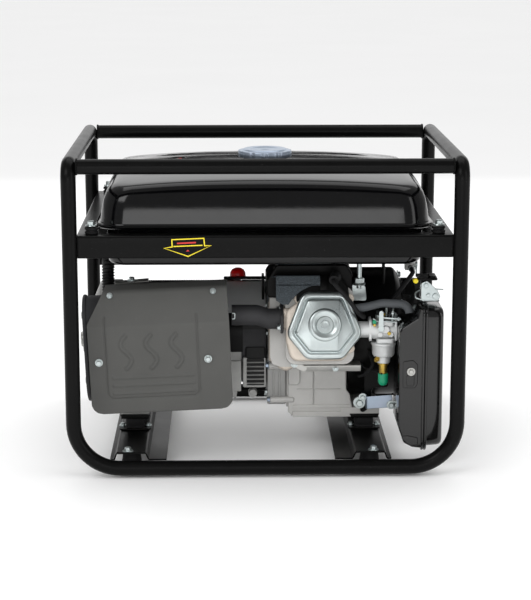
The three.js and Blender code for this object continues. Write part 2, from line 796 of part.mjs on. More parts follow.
function circuitBreaker() {
  const y = PANEL_Y - 6;
  return join(
    rodX(7, 194, 206, y, OUTLET_Z, 14),
    box(196, 204, y, y + 24, OUTLET_Z - 1, OUTLET_Z + 6),
  );
}

// ---- assembly ----
const SIDES = { engine_side: -1, panel_side: 1 };
const ENDS = { left: 0, right: 1 };

for (const [place, side] of Object.entries(SIDES)) {
  add(`frame_loop_${place}`, frameLoop(side), "blackPaint");
  const rail = rodX(TUBE_R, -INNER_X, INNER_X, side * RAIL_Y, RAIL_Z, 14);
  add(`top_rail_${place}`, rail, "blackPaint");
}
add("tank_support_frame", tankSupportFrame(), "blackPaint");
for (const [end, index] of Object.entries(ENDS)) {
  const x = CROWN_X[index];
  add(`base_channel_${end}`, baseChannel(x, index ? 1 : -1), "blackPaint");
  for (const [place, side] of Object.entries(SIDES)) {
    add(`rubber_foot_${end}_${place}`, rubberFoot(x, side * 224), "rubber");
    add(`vibration_mount_${end}_${place}`, vibrationMount(x, side * MOUNT_Y), "rubber");
  }
}

add("fuel_tank_upper", fuelTankUpper(), "tankPaint");
add("fuel_tank_lower", fuelTankLower(), "tankPaint");
add("fuel_strainer", fuelStrainer(), "steel");
add("fuel_cap_gasket", capGasket(), "rubber");
add("fuel_cap", fuelCap(), "blueZinc");
add("fuel_gauge", fuelGauge(), "plastic");
add("fuel_valve", fuelValve(), "darkCasting");
add("fuel_valve_lever", fuelValveLever(), "zinc");
add("fuel_hose", fuelHose(), "rubber");

add("crankcase", crankcase(), "castAluminium");
add("crankcase_cover", crankcaseCover(), "darkCasting");
add("cylinder_head", cylinderHead(), "castAluminium", cylinderFrame);
add("valve_cover", valveCover(), "zinc", cylinderFrame);
add("head_shroud", headShroud(), "hammered", cylinderFrame);
add("piston", piston(), "castAluminium", cylinderFrame);
add("crankshaft", crankshaft(), "steel");
add("flywheel", flywheel(), "castIron");
add("fan_housing", fanHousing(), "blackPaint");
add("oil_dipstick", oilDipstick(), "plastic");
add("recoil_housing", recoilHousing(), "blackPaint");
add("recoil_pulley", recoilPulley(), "plastic");
add("starter_grip", starterGrip(), "rubber");
add("spark_plug_and_lead", sparkPlug(), "rubber");
add("carburettor", carburettor(), "darkCasting");
add("float_bowl", floatBowl(), "darkCasting");
add("choke_lever", chokeLever(), "zinc");
add("throttle_arm", throttleArm(), "zinc");
add("breather_hose", breatherHose(), "hose");
add("air_filter_case", airFilterCase(), "plastic");
add("air_filter_cover", airFilterCover(), "plastic");
add("air_filter_element", airFilterElement(), "foam");

add("exhaust_elbow", exhaustElbow(), "castIron");
add("muffler_body", mufflerBody(), "castIron", mufflerFrame);
add("heat_shield", heatShield(), "heatPaint", mufflerFrame);

add("alternator_adapter", alternatorAdapter(), "darkCasting");
add("alternator_stator", alternatorStator(), "steel");
add("alternator_rotor", alternatorRotor(), "copper");
add("alternator_end_cover", alternatorEndCover(), "darkCasting");
add("cable_conduit", cableConduit(), "plastic");

add("control_panel_box", controlPanelBox(), "blackPaint");
add("control_panel_plate", controlPanelPlate(), "plastic");
add("socket_lid_left", socketLid(OUTLET_X[0]), "plastic");
add("socket_lid_right", socketLid(OUTLET_X[1]), "plastic");
add("engine_switch", engineSwitch(), "redPlastic");
add("circuit_breaker", circuitBreaker(), "plastic");

export default generator;
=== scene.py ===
"""Looks of the open-frame portable generator, built as an add-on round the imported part.

Shapes are drawn in millimetres and turned into metres when a piece is finished. +X runs from the
alternator to the recoil starter, -Y is the engine-head side and +Z is up.
"""

import math

import bmesh
import bpy
from bpy.props import FloatProperty, FloatVectorProperty, IntProperty, PointerProperty
from mathutils import Euler, Matrix, Vector


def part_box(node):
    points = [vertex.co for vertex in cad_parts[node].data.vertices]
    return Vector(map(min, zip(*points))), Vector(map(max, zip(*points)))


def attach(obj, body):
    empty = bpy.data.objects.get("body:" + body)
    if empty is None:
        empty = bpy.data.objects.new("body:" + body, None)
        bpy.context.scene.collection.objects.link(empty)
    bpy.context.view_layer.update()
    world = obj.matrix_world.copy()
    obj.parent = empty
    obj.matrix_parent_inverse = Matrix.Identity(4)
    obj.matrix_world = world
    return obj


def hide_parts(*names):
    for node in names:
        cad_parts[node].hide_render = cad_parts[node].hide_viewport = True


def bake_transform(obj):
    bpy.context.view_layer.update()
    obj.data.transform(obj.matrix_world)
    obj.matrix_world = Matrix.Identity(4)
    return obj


bl_info = {
    "name": "Open-frame generator",
    "version": (1, 0, 0),
    "blender": (4, 5, 0),
    "location": "3D View > Sidebar > Generator",
    "description": "Builds the shells, fittings and finishes of an open-frame portable generator",
    "category": "Object",
}

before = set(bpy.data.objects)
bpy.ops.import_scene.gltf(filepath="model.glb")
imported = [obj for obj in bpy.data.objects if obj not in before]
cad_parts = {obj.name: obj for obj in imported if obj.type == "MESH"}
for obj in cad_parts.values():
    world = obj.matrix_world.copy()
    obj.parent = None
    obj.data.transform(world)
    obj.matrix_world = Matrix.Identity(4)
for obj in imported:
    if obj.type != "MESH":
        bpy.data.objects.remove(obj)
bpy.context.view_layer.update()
MM = 0.001


# ---- places taken from the frame ----
def span(node):
    """Lowest and highest corner of a node, in millimetres."""
    low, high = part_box(node)
    return low / MM, high / MM


def middle(node):
    low, high = span(node)
    return (low + high) / 2


LOOP_LOW, LOOP_HIGH = span("frame_loop_engine_side")
RAIL_LOW, RAIL_HIGH = span("top_rail_engine_side")
TUBE_R = (RAIL_HIGH.z - RAIL_LOW.z) / 2
TUBE_X = LOOP_HIGH.x - TUBE_R
TUBE_Y = -LOOP_LOW.y - TUBE_R
LOW_TUBE_Z = LOOP_LOW.z + TUBE_R
TOP_TUBE_Z = LOOP_HIGH.z - TUBE_R
RAIL_Y = -middle("top_rail_engine_side").y
RAIL_Z = middle("top_rail_engine_side").z
INNER_X = RAIL_HIGH.x
CRANK_Z = middle("flywheel").z
CYLINDER_TILT = math.radians(-16.7)
MUFFLER_TILT = math.radians(-2.5)
CYLINDER_PLACE = Matrix.Translation((0, 0, CRANK_Z)) @ Matrix.Rotation(CYLINDER_TILT, 4, "X")
MUFFLER_PLACE = Matrix.Translation((-184, -160, 215)) @ Matrix.Rotation(MUFFLER_TILT, 4, "Y")


def linear(red, green, blue):
    """A colour given in screen values from 0 to 255, as scene-linear RGB."""
    def straight(level):
        level /= 255
        return level / 12.92 if level <= 0.04045 else ((level + 0.055) / 1.055) ** 2.4
    return straight(red), straight(green), straight(blue)


# ---- what a user would change ----
def colour(name, description, red, green, blue):
    default = linear(red, green, blue)
    return FloatVectorProperty(
        name=name, description=description, subtype="COLOR", min=0, max=1, default=default)


def length(name, description, default):
    return FloatProperty(name=name, description=description, default=default * MM, unit="LENGTH")


class GeneratorColours(bpy.types.PropertyGroup):
    # Frame paint also paints a shade arc on the alternator's lower front.
    frame_paint: colour("Frame paint", "Powder coat of the tubes and sheet", 8, 8, 8)
    tank_paint: colour("Tank paint", "Gloss paint of the tank", 5, 5, 6)
    heat_paint: colour("Heat paint", "Matt paint of the muffler's shield", 81, 81, 79)
    hammered_paint: colour("Hammered paint", "Paint of the cylinder shroud", 60, 67, 72)
    cast_aluminium: colour("Cast aluminium", "Blasted crankcase", 204, 203, 200)
    warm_aluminium: colour("Warm aluminium", "Cylinder head and its lobes", 224, 213, 200)
    # Bright casting also paints the highlight on the lit top of the alternator.
    bright_casting: colour("Bright casting", "Carburettor body and bowl", 222, 224, 224)
    die_casting: colour("Die casting", "Alternator ends and side cover", 166, 166, 164)
    zinc: colour("Zinc", "Plated covers and bolts", 196, 206, 208)
    blue_zinc: colour("Blue zinc", "Passivated brackets and the cap", 170, 190, 206)
    steel: colour("Steel", "Bare steel", 190, 190, 188)
    # Cast iron also paints the alternator adapter's bell dark, as painted shade.
    cast_iron: colour("Cast iron", "Exhaust pieces", 60, 60, 62)
    copper: colour("Copper", "Windings", 176, 96, 58)
    brass: colour("Brass", "Jets and solenoid", 196, 160, 72)
    rubber: colour("Rubber", "Feet, mounts and leads", 26, 26, 27)
    hose: colour("Hose", "Fuel and breather hoses", 78, 81, 84)
    # Plastic also paints the shaded vent openings on the alternator's end cover.
    plastic: colour("Plastic", "Moulded covers", 17, 17, 17)
    red_plastic: colour("Red plastic", "Switch and terminal boot", 205, 8, 8)
    green_plastic: colour("Green plastic", "Solenoid cap", 22, 150, 108)
    yellow_print: colour("Yellow print", "Outline of the arrow label", 245, 222, 30)
    foam: colour("Foam", "Air-filter element", 60, 63, 68)


class GeneratorSizes(bpy.types.PropertyGroup):
    tube_sides: IntProperty(
        name="Tube sides", description="Facets round a frame tube", default=32, min=12)
    bend_steps: IntProperty(
        name="Bend steps", description="Facets along a tube bend", default=16, min=6)
    turned_sides: IntProperty(
        name="Turned sides", description="Facets round a turned piece", default=72, min=24)
    sheet: length("Sheet", "Thickness of folded sheet", 2)
    weld_pitch: length("Weld ripple", "Distance between ripples of a weld bead", 2.2)
    fin_thickness: length("Fin", "Thickness of a cooling fin", 2.4)
    key_power: FloatProperty(name="Key light", description="Power", default=20, unit="POWER")


# ---- node trees ----
class Wire:
    """One socket of a node tree. Arithmetic on it adds Math nodes."""

    def __init__(self, tree, socket):
        self.tree = tree
        self.socket = socket

    def maths(self, operation, *terms):
        return self.tree.node("ShaderNodeMath", terms, operation=operation)

    def __add__(self, other):
        return self.maths("ADD", self, other)

    __radd__ = __add__

    def __sub__(self, other):
        return self.maths("SUBTRACT", self, other)

    def __rsub__(self, other):
        return self.maths("SUBTRACT", other, self)

    def __mul__(self, other):
        return self.maths("MULTIPLY", self, other)

    __rmul__ = __mul__

    def __truediv__(self, other):
        return self.maths("DIVIDE", self, other)

    def above(self, level):
        return self.maths("GREATER_THAN", self, level)

    def sine(self):
        return self.maths("SINE", self)


class Tree:
    """A node tree that is filled by code."""

    def __init__(self, tree):
        self.tree = tree

    def node(self, kind, sockets=(), out=0, stops=None, **settings):
        made = self.tree.nodes.new(kind)
        for key, value in settings.items():
            setattr(made, key, value)
        for position, level in stops or ():
            if position in (0, 1):
                made.color_ramp.elements[position].color = (*level, 1)
            else:
                made.color_ramp.elements.new(position).color = (*level, 1)
        pairs = sockets.items() if isinstance(sockets, dict) else enumerate(sockets)
        for key, value in pairs:
            self.fill(made.inputs[key], value)
        return Wire(self, made.outputs[out]) if made.outputs else None

    def fill(self, socket, value):
        if isinstance(value, Wire):
            self.tree.links.new(value.socket, socket)
        else:
            socket.default_value = value


# ---- finishes ----
class Finish(Tree):
    """A procedural material. Patterns read Object coordinates, in metres."""

    def __init__(self, name):
        self.material = bpy.data.materials.get(name) or bpy.data.materials.new(name)
        self.material.use_nodes = True
        super().__init__(self.material.node_tree)
        self.tree.nodes.clear()
        self.shader = self.tree.nodes.new("ShaderNodeBsdfPrincipled")
        output = self.tree.nodes.new("ShaderNodeOutputMaterial")
        self.tree.links.new(self.shader.outputs[0], output.inputs[0])
        self.place = self.node("ShaderNodeTexCoord", out="Object")

    def set(self, **sockets):
        for name, value in sockets.items():
            self.fill(self.shader.inputs[name.replace("_", " ")], value)

    def noise(self, size_mm, detail=3.0, roughness=0.55, stretch=None):
        place = self.place
        if stretch:
            place = self.node("ShaderNodeMapping", {"Vector": place, "Scale": stretch})
        values = {"Vector": place, "Scale": 1 / (size_mm * MM), "Detail": detail}
        return self.node("ShaderNodeTexNoise", {**values, "Roughness": roughness})

    def cells(self, size_mm, out="Distance"):
        values = {"Vector": self.place, "Scale": 1 / (size_mm * MM)}
        return self.node("ShaderNodeTexVoronoi", values, out=out)

    def mix(self, amount, one, two):
        sockets = {0: amount, 6: (*one, 1) if isinstance(one, tuple) else one}
        sockets[7] = (*two, 1) if isinstance(two, tuple) else two
        return self.node("ShaderNodeMix", sockets, out=2, data_type="RGBA")

    def bumped(self, height, depth_mm, strength=1.0):
        sockets = {"Height": height, "Distance": depth_mm * MM, "Strength": strength}
        self.set(Normal=self.node("ShaderNodeBump", sockets))


def scaled(base, factor):
    return tuple(min(1.0, channel * factor) for channel in base)


def painted(name, base, rough, peel_mm, peel_depth, specular, coat=0.0):
    """Gloss or satin paint: orange peel, faint dust and soft rub marks."""
    finish = Finish(name)
    peel = finish.noise(peel_mm, 2)
    smudge = finish.noise(42, 4)
    dust = finish.noise(1.6, 2).above(0.735)
    rubbed = finish.mix(smudge, scaled(base, 0.75), scaled(base, 1.45))
    finish.set(Base_Color=finish.mix(dust * 0.3, rubbed, (0.16, 0.16, 0.16)))
    finish.set(Roughness=rough + smudge * 0.12 + dust * 0.2, Coat_Weight=coat)
    finish.shader.inputs["Specular IOR Level"].default_value = specular
    finish.shader.inputs["Coat Roughness"].default_value = 0.06
    finish.bumped(peel, peel_depth)


def cast(name, base, rough, grain_mm, depth, metal=0.55, stain=0.82):
    """Cast metal: blasted grain, cloudy stains and pits."""
    finish = Finish(name)
    cloud = finish.noise(34, 4)
    grain = finish.noise(grain_mm, 3)
    pits = finish.cells(grain_mm * 3)
    shade = finish.mix(cloud, scaled(base, stain), scaled(base, 1.08))
    finish.set(Base_Color=finish.mix(grain * 0.35, shade, scaled(base, 0.6)))
    finish.set(Roughness=rough + grain * 0.14 - cloud * 0.1, Metallic=metal)
    finish.bumped(grain * 0.7 + pits * 0.5, depth)


def plated(name, base, rough, tint, brushed_mm=0.8):
    """Plated or bare metal: drawn scratches, iridescent clouds and dull patches."""
    finish = Finish(name)
    cloud = finish.noise(22, 3)
    drawn = finish.noise(brushed_mm, 4, stretch=(1, 1, 7))
    finish.set(Base_Color=finish.mix(cloud, scaled(base, 0.86), tint))
    finish.set(Roughness=rough + cloud * 0.1 + drawn * 0.1, Metallic=0.95)
    finish.bumped(drawn, 0.05, 0.5)


def moulded(name, base, rough, grain_mm, depth, specular=0.3, coat=0.0):
    """Moulded plastic or rubber: fine grain, bloom and scuffs."""
    finish = Finish(name)
    bloom = finish.noise(30, 4)
    grain = finish.noise(grain_mm, 2)
    scuff = finish.noise(3, 3, stretch=(1, 1, 5)).above(0.7)
    shade = finish.mix(bloom, scaled(base, 0.8), scaled(base, 1.25))
    finish.set(Base_Color=finish.mix(scuff * 0.18, shade, scaled(base, 2.2)))
    finish.set(Roughness=rough + bloom * 0.12 + scuff * 0.08, Coat_Weight=coat)
    finish.shader.inputs["Specular IOR Level"].default_value = specular
    finish.bumped(grain, depth)


def hammered(name, base):
    """Hammertone paint: shallow dimples with bright rims over a dark ground."""
    finish = Finish(name)
    dimples = finish.cells(2.0)
    fleck = finish.noise(1.1, 3)
    lit = finish.mix(dimples, scaled(base, 0.45), scaled(base, 2.0))
    finish.set(Base_Color=finish.mix(fleck * 0.45, lit, scaled(base, 0.5)))
    finish.set(Roughness=0.34 + dimples * 0.2, Metallic=0.45)
    finish.bumped(1 - dimples, 0.45)


def heat_matt(name, base):
    """Dry heat-proof paint: fine tooth, faint bloom and pale specks."""
    finish = Finish(name)
    tooth = finish.noise(0.9, 3)
    bloom = finish.noise(60, 3)
    speck = finish.noise(1.9, 2).above(0.74)
    shade = finish.mix(bloom, scaled(base, 0.88), scaled(base, 1.1))
    finish.set(Base_Color=finish.mix(speck * 0.4, shade, scaled(base, 2.6)))
    finish.set(Roughness=0.62 + tooth * 0.12)
    finish.shader.inputs["Specular IOR Level"].default_value = 0.35
    finish.bumped(tooth, 0.12)


def foamy(name, base):
    finish = Finish(name)
    pores = finish.cells(1.4)
    finish.set(Base_Color=finish.mix(pores, scaled(base, 0.25), scaled(base, 1.3)))
    finish.set(Roughness=0.9 + pores * 0.08)
    finish.bumped(pores, 0.8)


def wound(name, base):
    """Lacquered copper wire in close turns."""
    finish = Finish(name)
    turns = finish.noise(0.7, 2, stretch=(0.15, 1, 1))
    finish.set(Base_Color=finish.mix(turns, scaled(base, 0.5), scaled(base, 1.2)))
    finish.set(Roughness=0.3 + turns * 0.15, Metallic=0.9)
    finish.bumped(turns, 0.5)


def printed(name, base):
    finish = Finish(name)
    ink = finish.noise(1.2, 2)
    finish.set(Base_Color=finish.mix(ink, scaled(base, 0.85), scaled(base, 1.05)))
    finish.set(Roughness=0.35 + ink * 0.1)
    finish.bumped(ink, 0.02)


def make_finishes(tints):
    painted("frame_paint", tuple(tints.frame_paint), 0.24, 2.6, 0.03, 0.12)
    painted("tank_paint", tuple(tints.tank_paint), 0.06, 6, 0.015, 0.4)
    painted("gloss_black", tuple(tints.plastic), 0.09, 5, 0.03, 0.45, 0.3)
    heat_matt("heat_paint", tuple(tints.heat_paint))
    hammered("hammered_paint", tuple(tints.hammered_paint))
    cast("cast_aluminium", tuple(tints.cast_aluminium), 0.5, 0.8, 0.2, 0.35)
    cast("warm_aluminium", tuple(tints.warm_aluminium), 0.5, 0.8, 0.2, 0.3, 0.86)
    cast("bright_casting", tuple(tints.bright_casting), 0.38, 0.7, 0.12, 0.45, 0.88)
    cast("die_casting", tuple(tints.die_casting), 0.42, 0.7, 0.14, 0.55)
    cast("cast_iron", tuple(tints.cast_iron), 0.6, 1.3, 0.3, 0.4, 0.7)
    plated("zinc", tuple(tints.zinc), 0.2, linear(214, 222, 220))
    plated("blue_zinc", tuple(tints.blue_zinc), 0.24, linear(196, 204, 222))
    plated("steel", tuple(tints.steel), 0.26, linear(204, 203, 198))
    plated("brass", tuple(tints.brass), 0.22, linear(214, 186, 96))
    wound("copper", tuple(tints.copper))
    moulded("rubber", tuple(tints.rubber), 0.62, 1.0, 0.1, 0.2)
    moulded("grey_hose", tuple(tints.hose), 0.5, 1.2, 0.08, 0.3)
    moulded("black_plastic", tuple(tints.plastic), 0.4, 0.7, 0.06, 0.25)
    moulded("red_plastic", tuple(tints.red_plastic), 0.3, 1.0, 0.04, 0.5)
    moulded("green_plastic", tuple(tints.green_plastic), 0.3, 1.0, 0.04, 0.5)
    foamy("foam", tuple(tints.foam))
    printed("yellow_print", tuple(tints.yellow_print))
    printed("red_print", linear(214, 44, 40))
    printed("white_print", linear(232, 232, 228))


# ---- outlines and paths ----
def rounded(corners, radius=0.0, steps=5, closed=True):
    """Corners joined by straight runs and arcs. A corner may carry its own radius as (point, radius)."""
    own = [c if isinstance(c[0], (tuple, list, Vector)) else (c, radius) for c in corners]
    points = [Vector(point) for point, _ in own]
    made = []
    for i, (_, bend) in enumerate(own):
        here = points[i]
        if bend <= 0 or (not closed and i in (0, len(own) - 1)):
            made.append(here)
            continue
        back = (points[i - 1] - here).normalized()
        ahead = (points[(i + 1) % len(points)] - here).normalized()
        angle = back.angle(ahead)
        sweep = math.pi - angle
        if sweep < 0.01:
            made.append(here)
            continue
        centre = here + (back + ahead).normalized() * bend / math.sin(angle / 2)
        reach = bend / math.tan(angle / 2)
        first = here + back * reach - centre
        last = here + ahead * reach - centre
        for k in range(steps + 1):
            part = k / steps
            turn = first * math.sin((1 - part) * sweep) + last * math.sin(part * sweep)
            made.append(centre + turn / math.sin(sweep))
    return made


def rectangle(a0, a1, b0, b1, radius=0.0, steps=5):
    return rounded([(a0, b0), (a1, b0), (a1, b1), (a0, b1)], radius, steps)


def shrunk(sides, radius, distance, steps=7):
    """A round-cornered rectangle made smaller on every side, however far."""
    a0, a1, b0, b1 = sides
    return rectangle(a0 + distance, a1 - distance, b0 + distance, b1 - distance, max(radius - distance, 1.5),
                     steps)


def circle(a, b, radius, sides=32):
    turns = [2 * math.pi * k / sides for k in range(sides)]
    return [Vector((a + radius * math.cos(t), b + radius * math.sin(t))) for t in turns]


def inset(outline, distance):
    """The outline moved inwards by that distance."""
    count = len(outline)
    area = sum(outline[i - 1].cross(outline[i]) for i in range(count))
    side = 1 if area > 0 else -1
    made = []
    for i, here in enumerate(outline):
        back = (here - outline[i - 1]).normalized().orthogonal()
        ahead = (outline[(i + 1) % count] - here).normalized().orthogonal()
        corner = (back + ahead) / max(1 + back.dot(ahead), 0.4)
        made.append(here + corner * distance * side)
    return made


def folded(corners, thickness, bend, steps=5):
    """Cross-section of a sheet folded along those corners."""
    line = rounded(corners, bend, steps, closed=False)
    left, right = [], []
    for i, here in enumerate(line):
        back = (here - line[max(i - 1, 0)]) if i else line[1] - here
        ahead = (line[i + 1] - here) if i + 1 < len(line) else here - line[i - 1]
        across = (back.normalized().orthogonal() + ahead.normalized().orthogonal()).normalized()
        left.append(here + across * thickness / 2)
        right.append(here - across * thickness / 2)
    return left + right[::-1]


TURNS = {
    "X": Matrix(((0, 0, 1), (1, 0, 0), (0, 1, 0))),
    "Y": Matrix(((1, 0, 0), (0, 0, 1), (0, 1, 0))),
    "Z": Matrix.Identity(3),
}


class Shape:
    """Closed parts gathered in millimetres. Each keeps the finish in use when it was added."""

    def __init__(self, finish, place=None):
        self.mesh = bmesh.new()
        self.finishes = []
        self.place = place or Matrix.Identity(4)
        self.use(finish)

    def use(self, finish):
        if finish not in self.finishes:
            self.finishes.append(finish)
        self.current = self.finishes.index(finish)
        return self

    def face(self, corners):
        made = self.mesh.faces.new(corners)
        made.material_index = self.current
        made.smooth = True

    def rings(self, loops, closed=False, caps=True):
        made = [[self.mesh.verts.new(self.place @ Vector(p)) for p in loop] for loop in loops]
        pairs = list(zip(made, made[1:]))
        if closed:
            pairs.append((made[-1], made[0]))
        for one, two in pairs:
            for i in range(len(one)):
                j = (i + 1) % len(one)
                self.face((one[i], one[j], two[j], two[i]))
        if caps and not closed:
            self.face(made[0][::-1])
            self.face(made[-1])
        return self

    def slab(self, outline, start, end, axis="Z", edge=0.8, steps=2):
        """A plate of that outline with rounded rims."""
        levels = []
        for k in range(steps + 1):
            turn = math.pi / 2 * k / steps
            levels.append((edge * (1 - math.sin(turn)), edge * (1 - math.cos(turn))))
        stack = [(edge + 0.3, start)] + [(shrink, start + rise) for shrink, rise in levels]
        stack += [(shrink, end - rise) for shrink, rise in reversed(levels)] + [(edge + 0.3, end)]
        turn = TURNS[axis]
        loops = [[turn @ p.to_3d() + turn @ Vector((0, 0, h)) for p in inset(outline, shrink)]
                 for shrink, h in stack]
        return self.rings(loops)

    def block(self, x0, x1, y0, y1, z0, z1, edge=1.0):
        flat = rectangle(x0, x1, y0, y1, edge, 2)
        return self.slab(flat, z0, z1, "Z", edge)

    def tube(self, path, radius, sides=20):
        """A round tube. The radius may be one number or a list, one for each point."""
        path = [Vector(p) for p in path]
        radii = radius if isinstance(radius, list) else [radius] * len(path)
        heading = (path[1] - path[0]).normalized()
        across = heading.orthogonal().normalized()
        loops = []
        for i, here in enumerate(path):
            before = path[max(i - 1, 0)]
            after = path[min(i + 1, len(path) - 1)]
            ahead = (after - here).normalized() if after != here else heading
            behind = (here - before).normalized() if before != here else ahead
            heading = (ahead + behind).normalized()
            across = (across - heading * across.dot(heading)).normalized()
            side = heading.cross(across)
            turns = [2 * math.pi * k / sides for k in range(sides)]
            loops.append([here + (across * math.cos(t) + side * math.sin(t)) * radii[i] for t in turns])
        return self.rings(loops)

    def rod(self, start, end, radius, edge=0.6, sides=24):
        start, end = Vector(start), Vector(end)
        step = (end - start).normalized() * edge
        radii = [radius - edge, radius, radius, radius - edge]
        return self.tube([start, start + step, end - step, end], radii, sides)

    def turned(self, profile, centre=(0, 0, 0), axis="Z", sides=48, closed=False):
        """A turned part; the profile is in (along, radius) pairs."""
        turn = TURNS[axis]
        middle = Vector(centre)
        angles = [2 * math.pi * k / sides for k in range(sides)]
        loops = [[turn @ Vector((r * math.cos(t), r * math.sin(t), along)) + middle for t in angles]
                 for along, r in profile]
        return self.rings(loops, closed)

    def hexagon(self, start, end, across):
        return self.rod(start, end, across / math.sqrt(3), 0.5, 6)


def bare(name, shape, sharp=32):
    """An object whose mesh is that shape, in metres, with no body yet."""
    bmesh.ops.remove_doubles(shape.mesh, verts=shape.mesh.verts, dist=0.005)
    bmesh.ops.recalc_face_normals(shape.mesh, faces=shape.mesh.faces)
    mesh = bpy.data.meshes.new(name)
    shape.mesh.to_mesh(mesh)
    shape.mesh.free()
    mesh.transform(Matrix.Scale(MM, 4))
    mesh.set_sharp_from_angle(angle=math.radians(sharp))
    for finish in shape.finishes:
        mesh.materials.append(bpy.data.materials[finish])
    made = bpy.data.objects.new(name, mesh)
    bpy.context.scene.collection.objects.link(made)
    return made


def settle(made, body="root", replaces=()):
    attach(made, body)
    if replaces:
        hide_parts(*replaces)
    return made


def piece(name, shape, body="root", replaces=(), sharp=32):
    return settle(bare(name, shape, sharp), body, replaces)


# ---- what repeats: geometry nodes ----
class Grower(Tree):
    """A geometry node tree with named inputs, grown on a mesh and applied."""

    def __init__(self, name, inputs):
        tree = bpy.data.node_groups.new(name, "GeometryNodeTree")
        sides = (("INPUT", {"Geometry": "Geometry", **inputs}), ("OUTPUT", {"Geometry": "Geometry"}))
        for side, sockets in sides:
            for label, kind in sockets.items():
                tree.interface.new_socket(label, in_out=side, socket_type=f"NodeSocket{kind}")
        super().__init__(tree)
        self.source = tree.nodes.new("NodeGroupInput")

    def given(self, name):
        return Wire(self, self.source.outputs[name])

    def spread(self, points, instance, **sockets):
        """Copies of the instance on the points, made real."""
        values = {"Points": points, "Instance": instance, **sockets}
        copies = self.node("GeometryNodeInstanceOnPoints", values)
        return self.node("GeometryNodeRealizeInstances", [copies])

    def close(self, geometry):
        """Ends the tree with the finish, which is one of its inputs."""
        self.ended = self.node("GeometryNodeSetMaterial", {
            "Geometry": geometry, "Material": self.given("Finish")})
        output = self.tree.nodes.new("NodeGroupOutput")
        self.fill(output.inputs[0], self.ended)

    def grow(self, made, **values):
        """Runs the tree on an object and leaves it a plain mesh."""
        modifier = made.modifiers.new("Grow", "NODES")
        modifier.node_group = self.tree
        for item in self.tree.interface.items_tree:
            key = item.name.replace(" ", "_").lower()
            if item.in_out == "INPUT" and key in values:
                modifier[item.identifier] = values[key]
        made.update_tag()
        graph = bpy.context.evaluated_depsgraph_get()
        plain = bpy.data.meshes.new_from_object(made.evaluated_get(graph))
        made.modifiers.remove(modifier)
        made.data = plain
        plain.set_sharp_from_angle(angle=math.radians(32))
        return made


def fastener_grower():
    """Bolt and screw heads with a washer, standing on points that say which way they face."""
    tree = Grower("Fasteners", {
        "Sides": "Int", "Head Height": "Float", "Washer": "Float", "Finish": "Material"})
    sides = tree.given("Sides")
    height = tree.given("Head Height")
    washer = tree.given("Washer")

    def disc(count, low_r, high_r, start, depth):
        made = tree.node("GeometryNodeMeshCone", {
            "Vertices": count, "Radius Bottom": low_r, "Radius Top": high_r, "Depth": depth})
        lift = tree.node("ShaderNodeCombineXYZ", {"Z": start})
        return tree.node("GeometryNodeTransform", {"Geometry": made, "Translation": lift})

    parts = [
        disc(20, washer, washer * 0.94, 0.0, 0.14),
        disc(sides, 0.577, 0.577, 0.14, height * 0.8),
        disc(sides, 0.577, 0.46, height * 0.8 + 0.14, height * 0.2),
    ]
    joined = tree.tree.nodes.new("GeometryNodeJoinGeometry")
    for part in reversed(parts):
        tree.fill(joined.inputs[0], part)
    facing = tree.node("GeometryNodeInputNamedAttribute", {"Name": "facing"},
                       data_type="FLOAT_VECTOR")
    across = tree.node("GeometryNodeInputNamedAttribute", {"Name": "across"}, data_type="FLOAT")
    turn = tree.node("FunctionNodeAlignRotationToVector", {"Vector": facing}, axis="Z")
    made = tree.spread(
        tree.given("Geometry"), Wire(tree, joined.outputs[0]), Rotation=turn, Scale=across)
    tree.close(made)
    return tree


def row_grower():
    """Copies of the mesh along a straight line."""
    tree = Grower("Row", {"Count": "Int", "Step": "Vector", "Finish": "Material"})
    line = tree.node("GeometryNodeMeshLine", {"Count": tree.given("Count"),
                                              "Offset": tree.given("Step")}, mode="OFFSET")
    tree.close(tree.spread(line, tree.given("Geometry")))
    return tree


def wheel_grower():
    """Copies of the mesh turned about an axis through a centre."""
    tree = Grower("Wheel", {
        "Count": "Int", "Centre": "Vector", "Turn": "Vector", "Finish": "Material"})
    centre = tree.given("Centre")
    away = tree.node("ShaderNodeVectorMath", [centre], operation="SCALE")
    away.socket.node.inputs["Scale"].default_value = -1
    part = tree.node("GeometryNodeTransform", {
        "Geometry": tree.given("Geometry"), "Translation": away})
    points = tree.node("GeometryNodeMeshLine", {
        "Count": tree.given("Count"), "Start Location": centre, "Offset": (0, 0, 0)}, mode="OFFSET")
    index = tree.node("GeometryNodeInputIndex")
    turn = tree.node("ShaderNodeVectorMath", {0: tree.given("Turn"), "Scale": index},
                     operation="SCALE")
    tree.close(tree.spread(points, part, Rotation=turn))
    return tree


def weld_grower():
    """Ripples of weld along an edge path."""
    tree = Grower("Weld", {"Pitch": "Float", "Bead": "Float", "Seed": "Int", "Finish": "Material"})
    curve = tree.node("GeometryNodeMeshToCurve", [tree.given("Geometry")])
    points = tree.node("GeometryNodeCurveToPoints", {
        "Curve": curve, "Length": tree.given("Pitch")}, mode="LENGTH")
    drop = tree.node("GeometryNodeMeshIcoSphere", {
        "Radius": tree.given("Bead"), "Subdivisions": 2})
    size = tree.node("FunctionNodeRandomValue", {
        "Min": (0.8, 0.8, 0.7), "Max": (1.15, 1.1, 1.0), "Seed": tree.given("Seed")},
        data_type="FLOAT_VECTOR")
    tree.close(tree.spread(points, drop, Scale=size))
    return tree


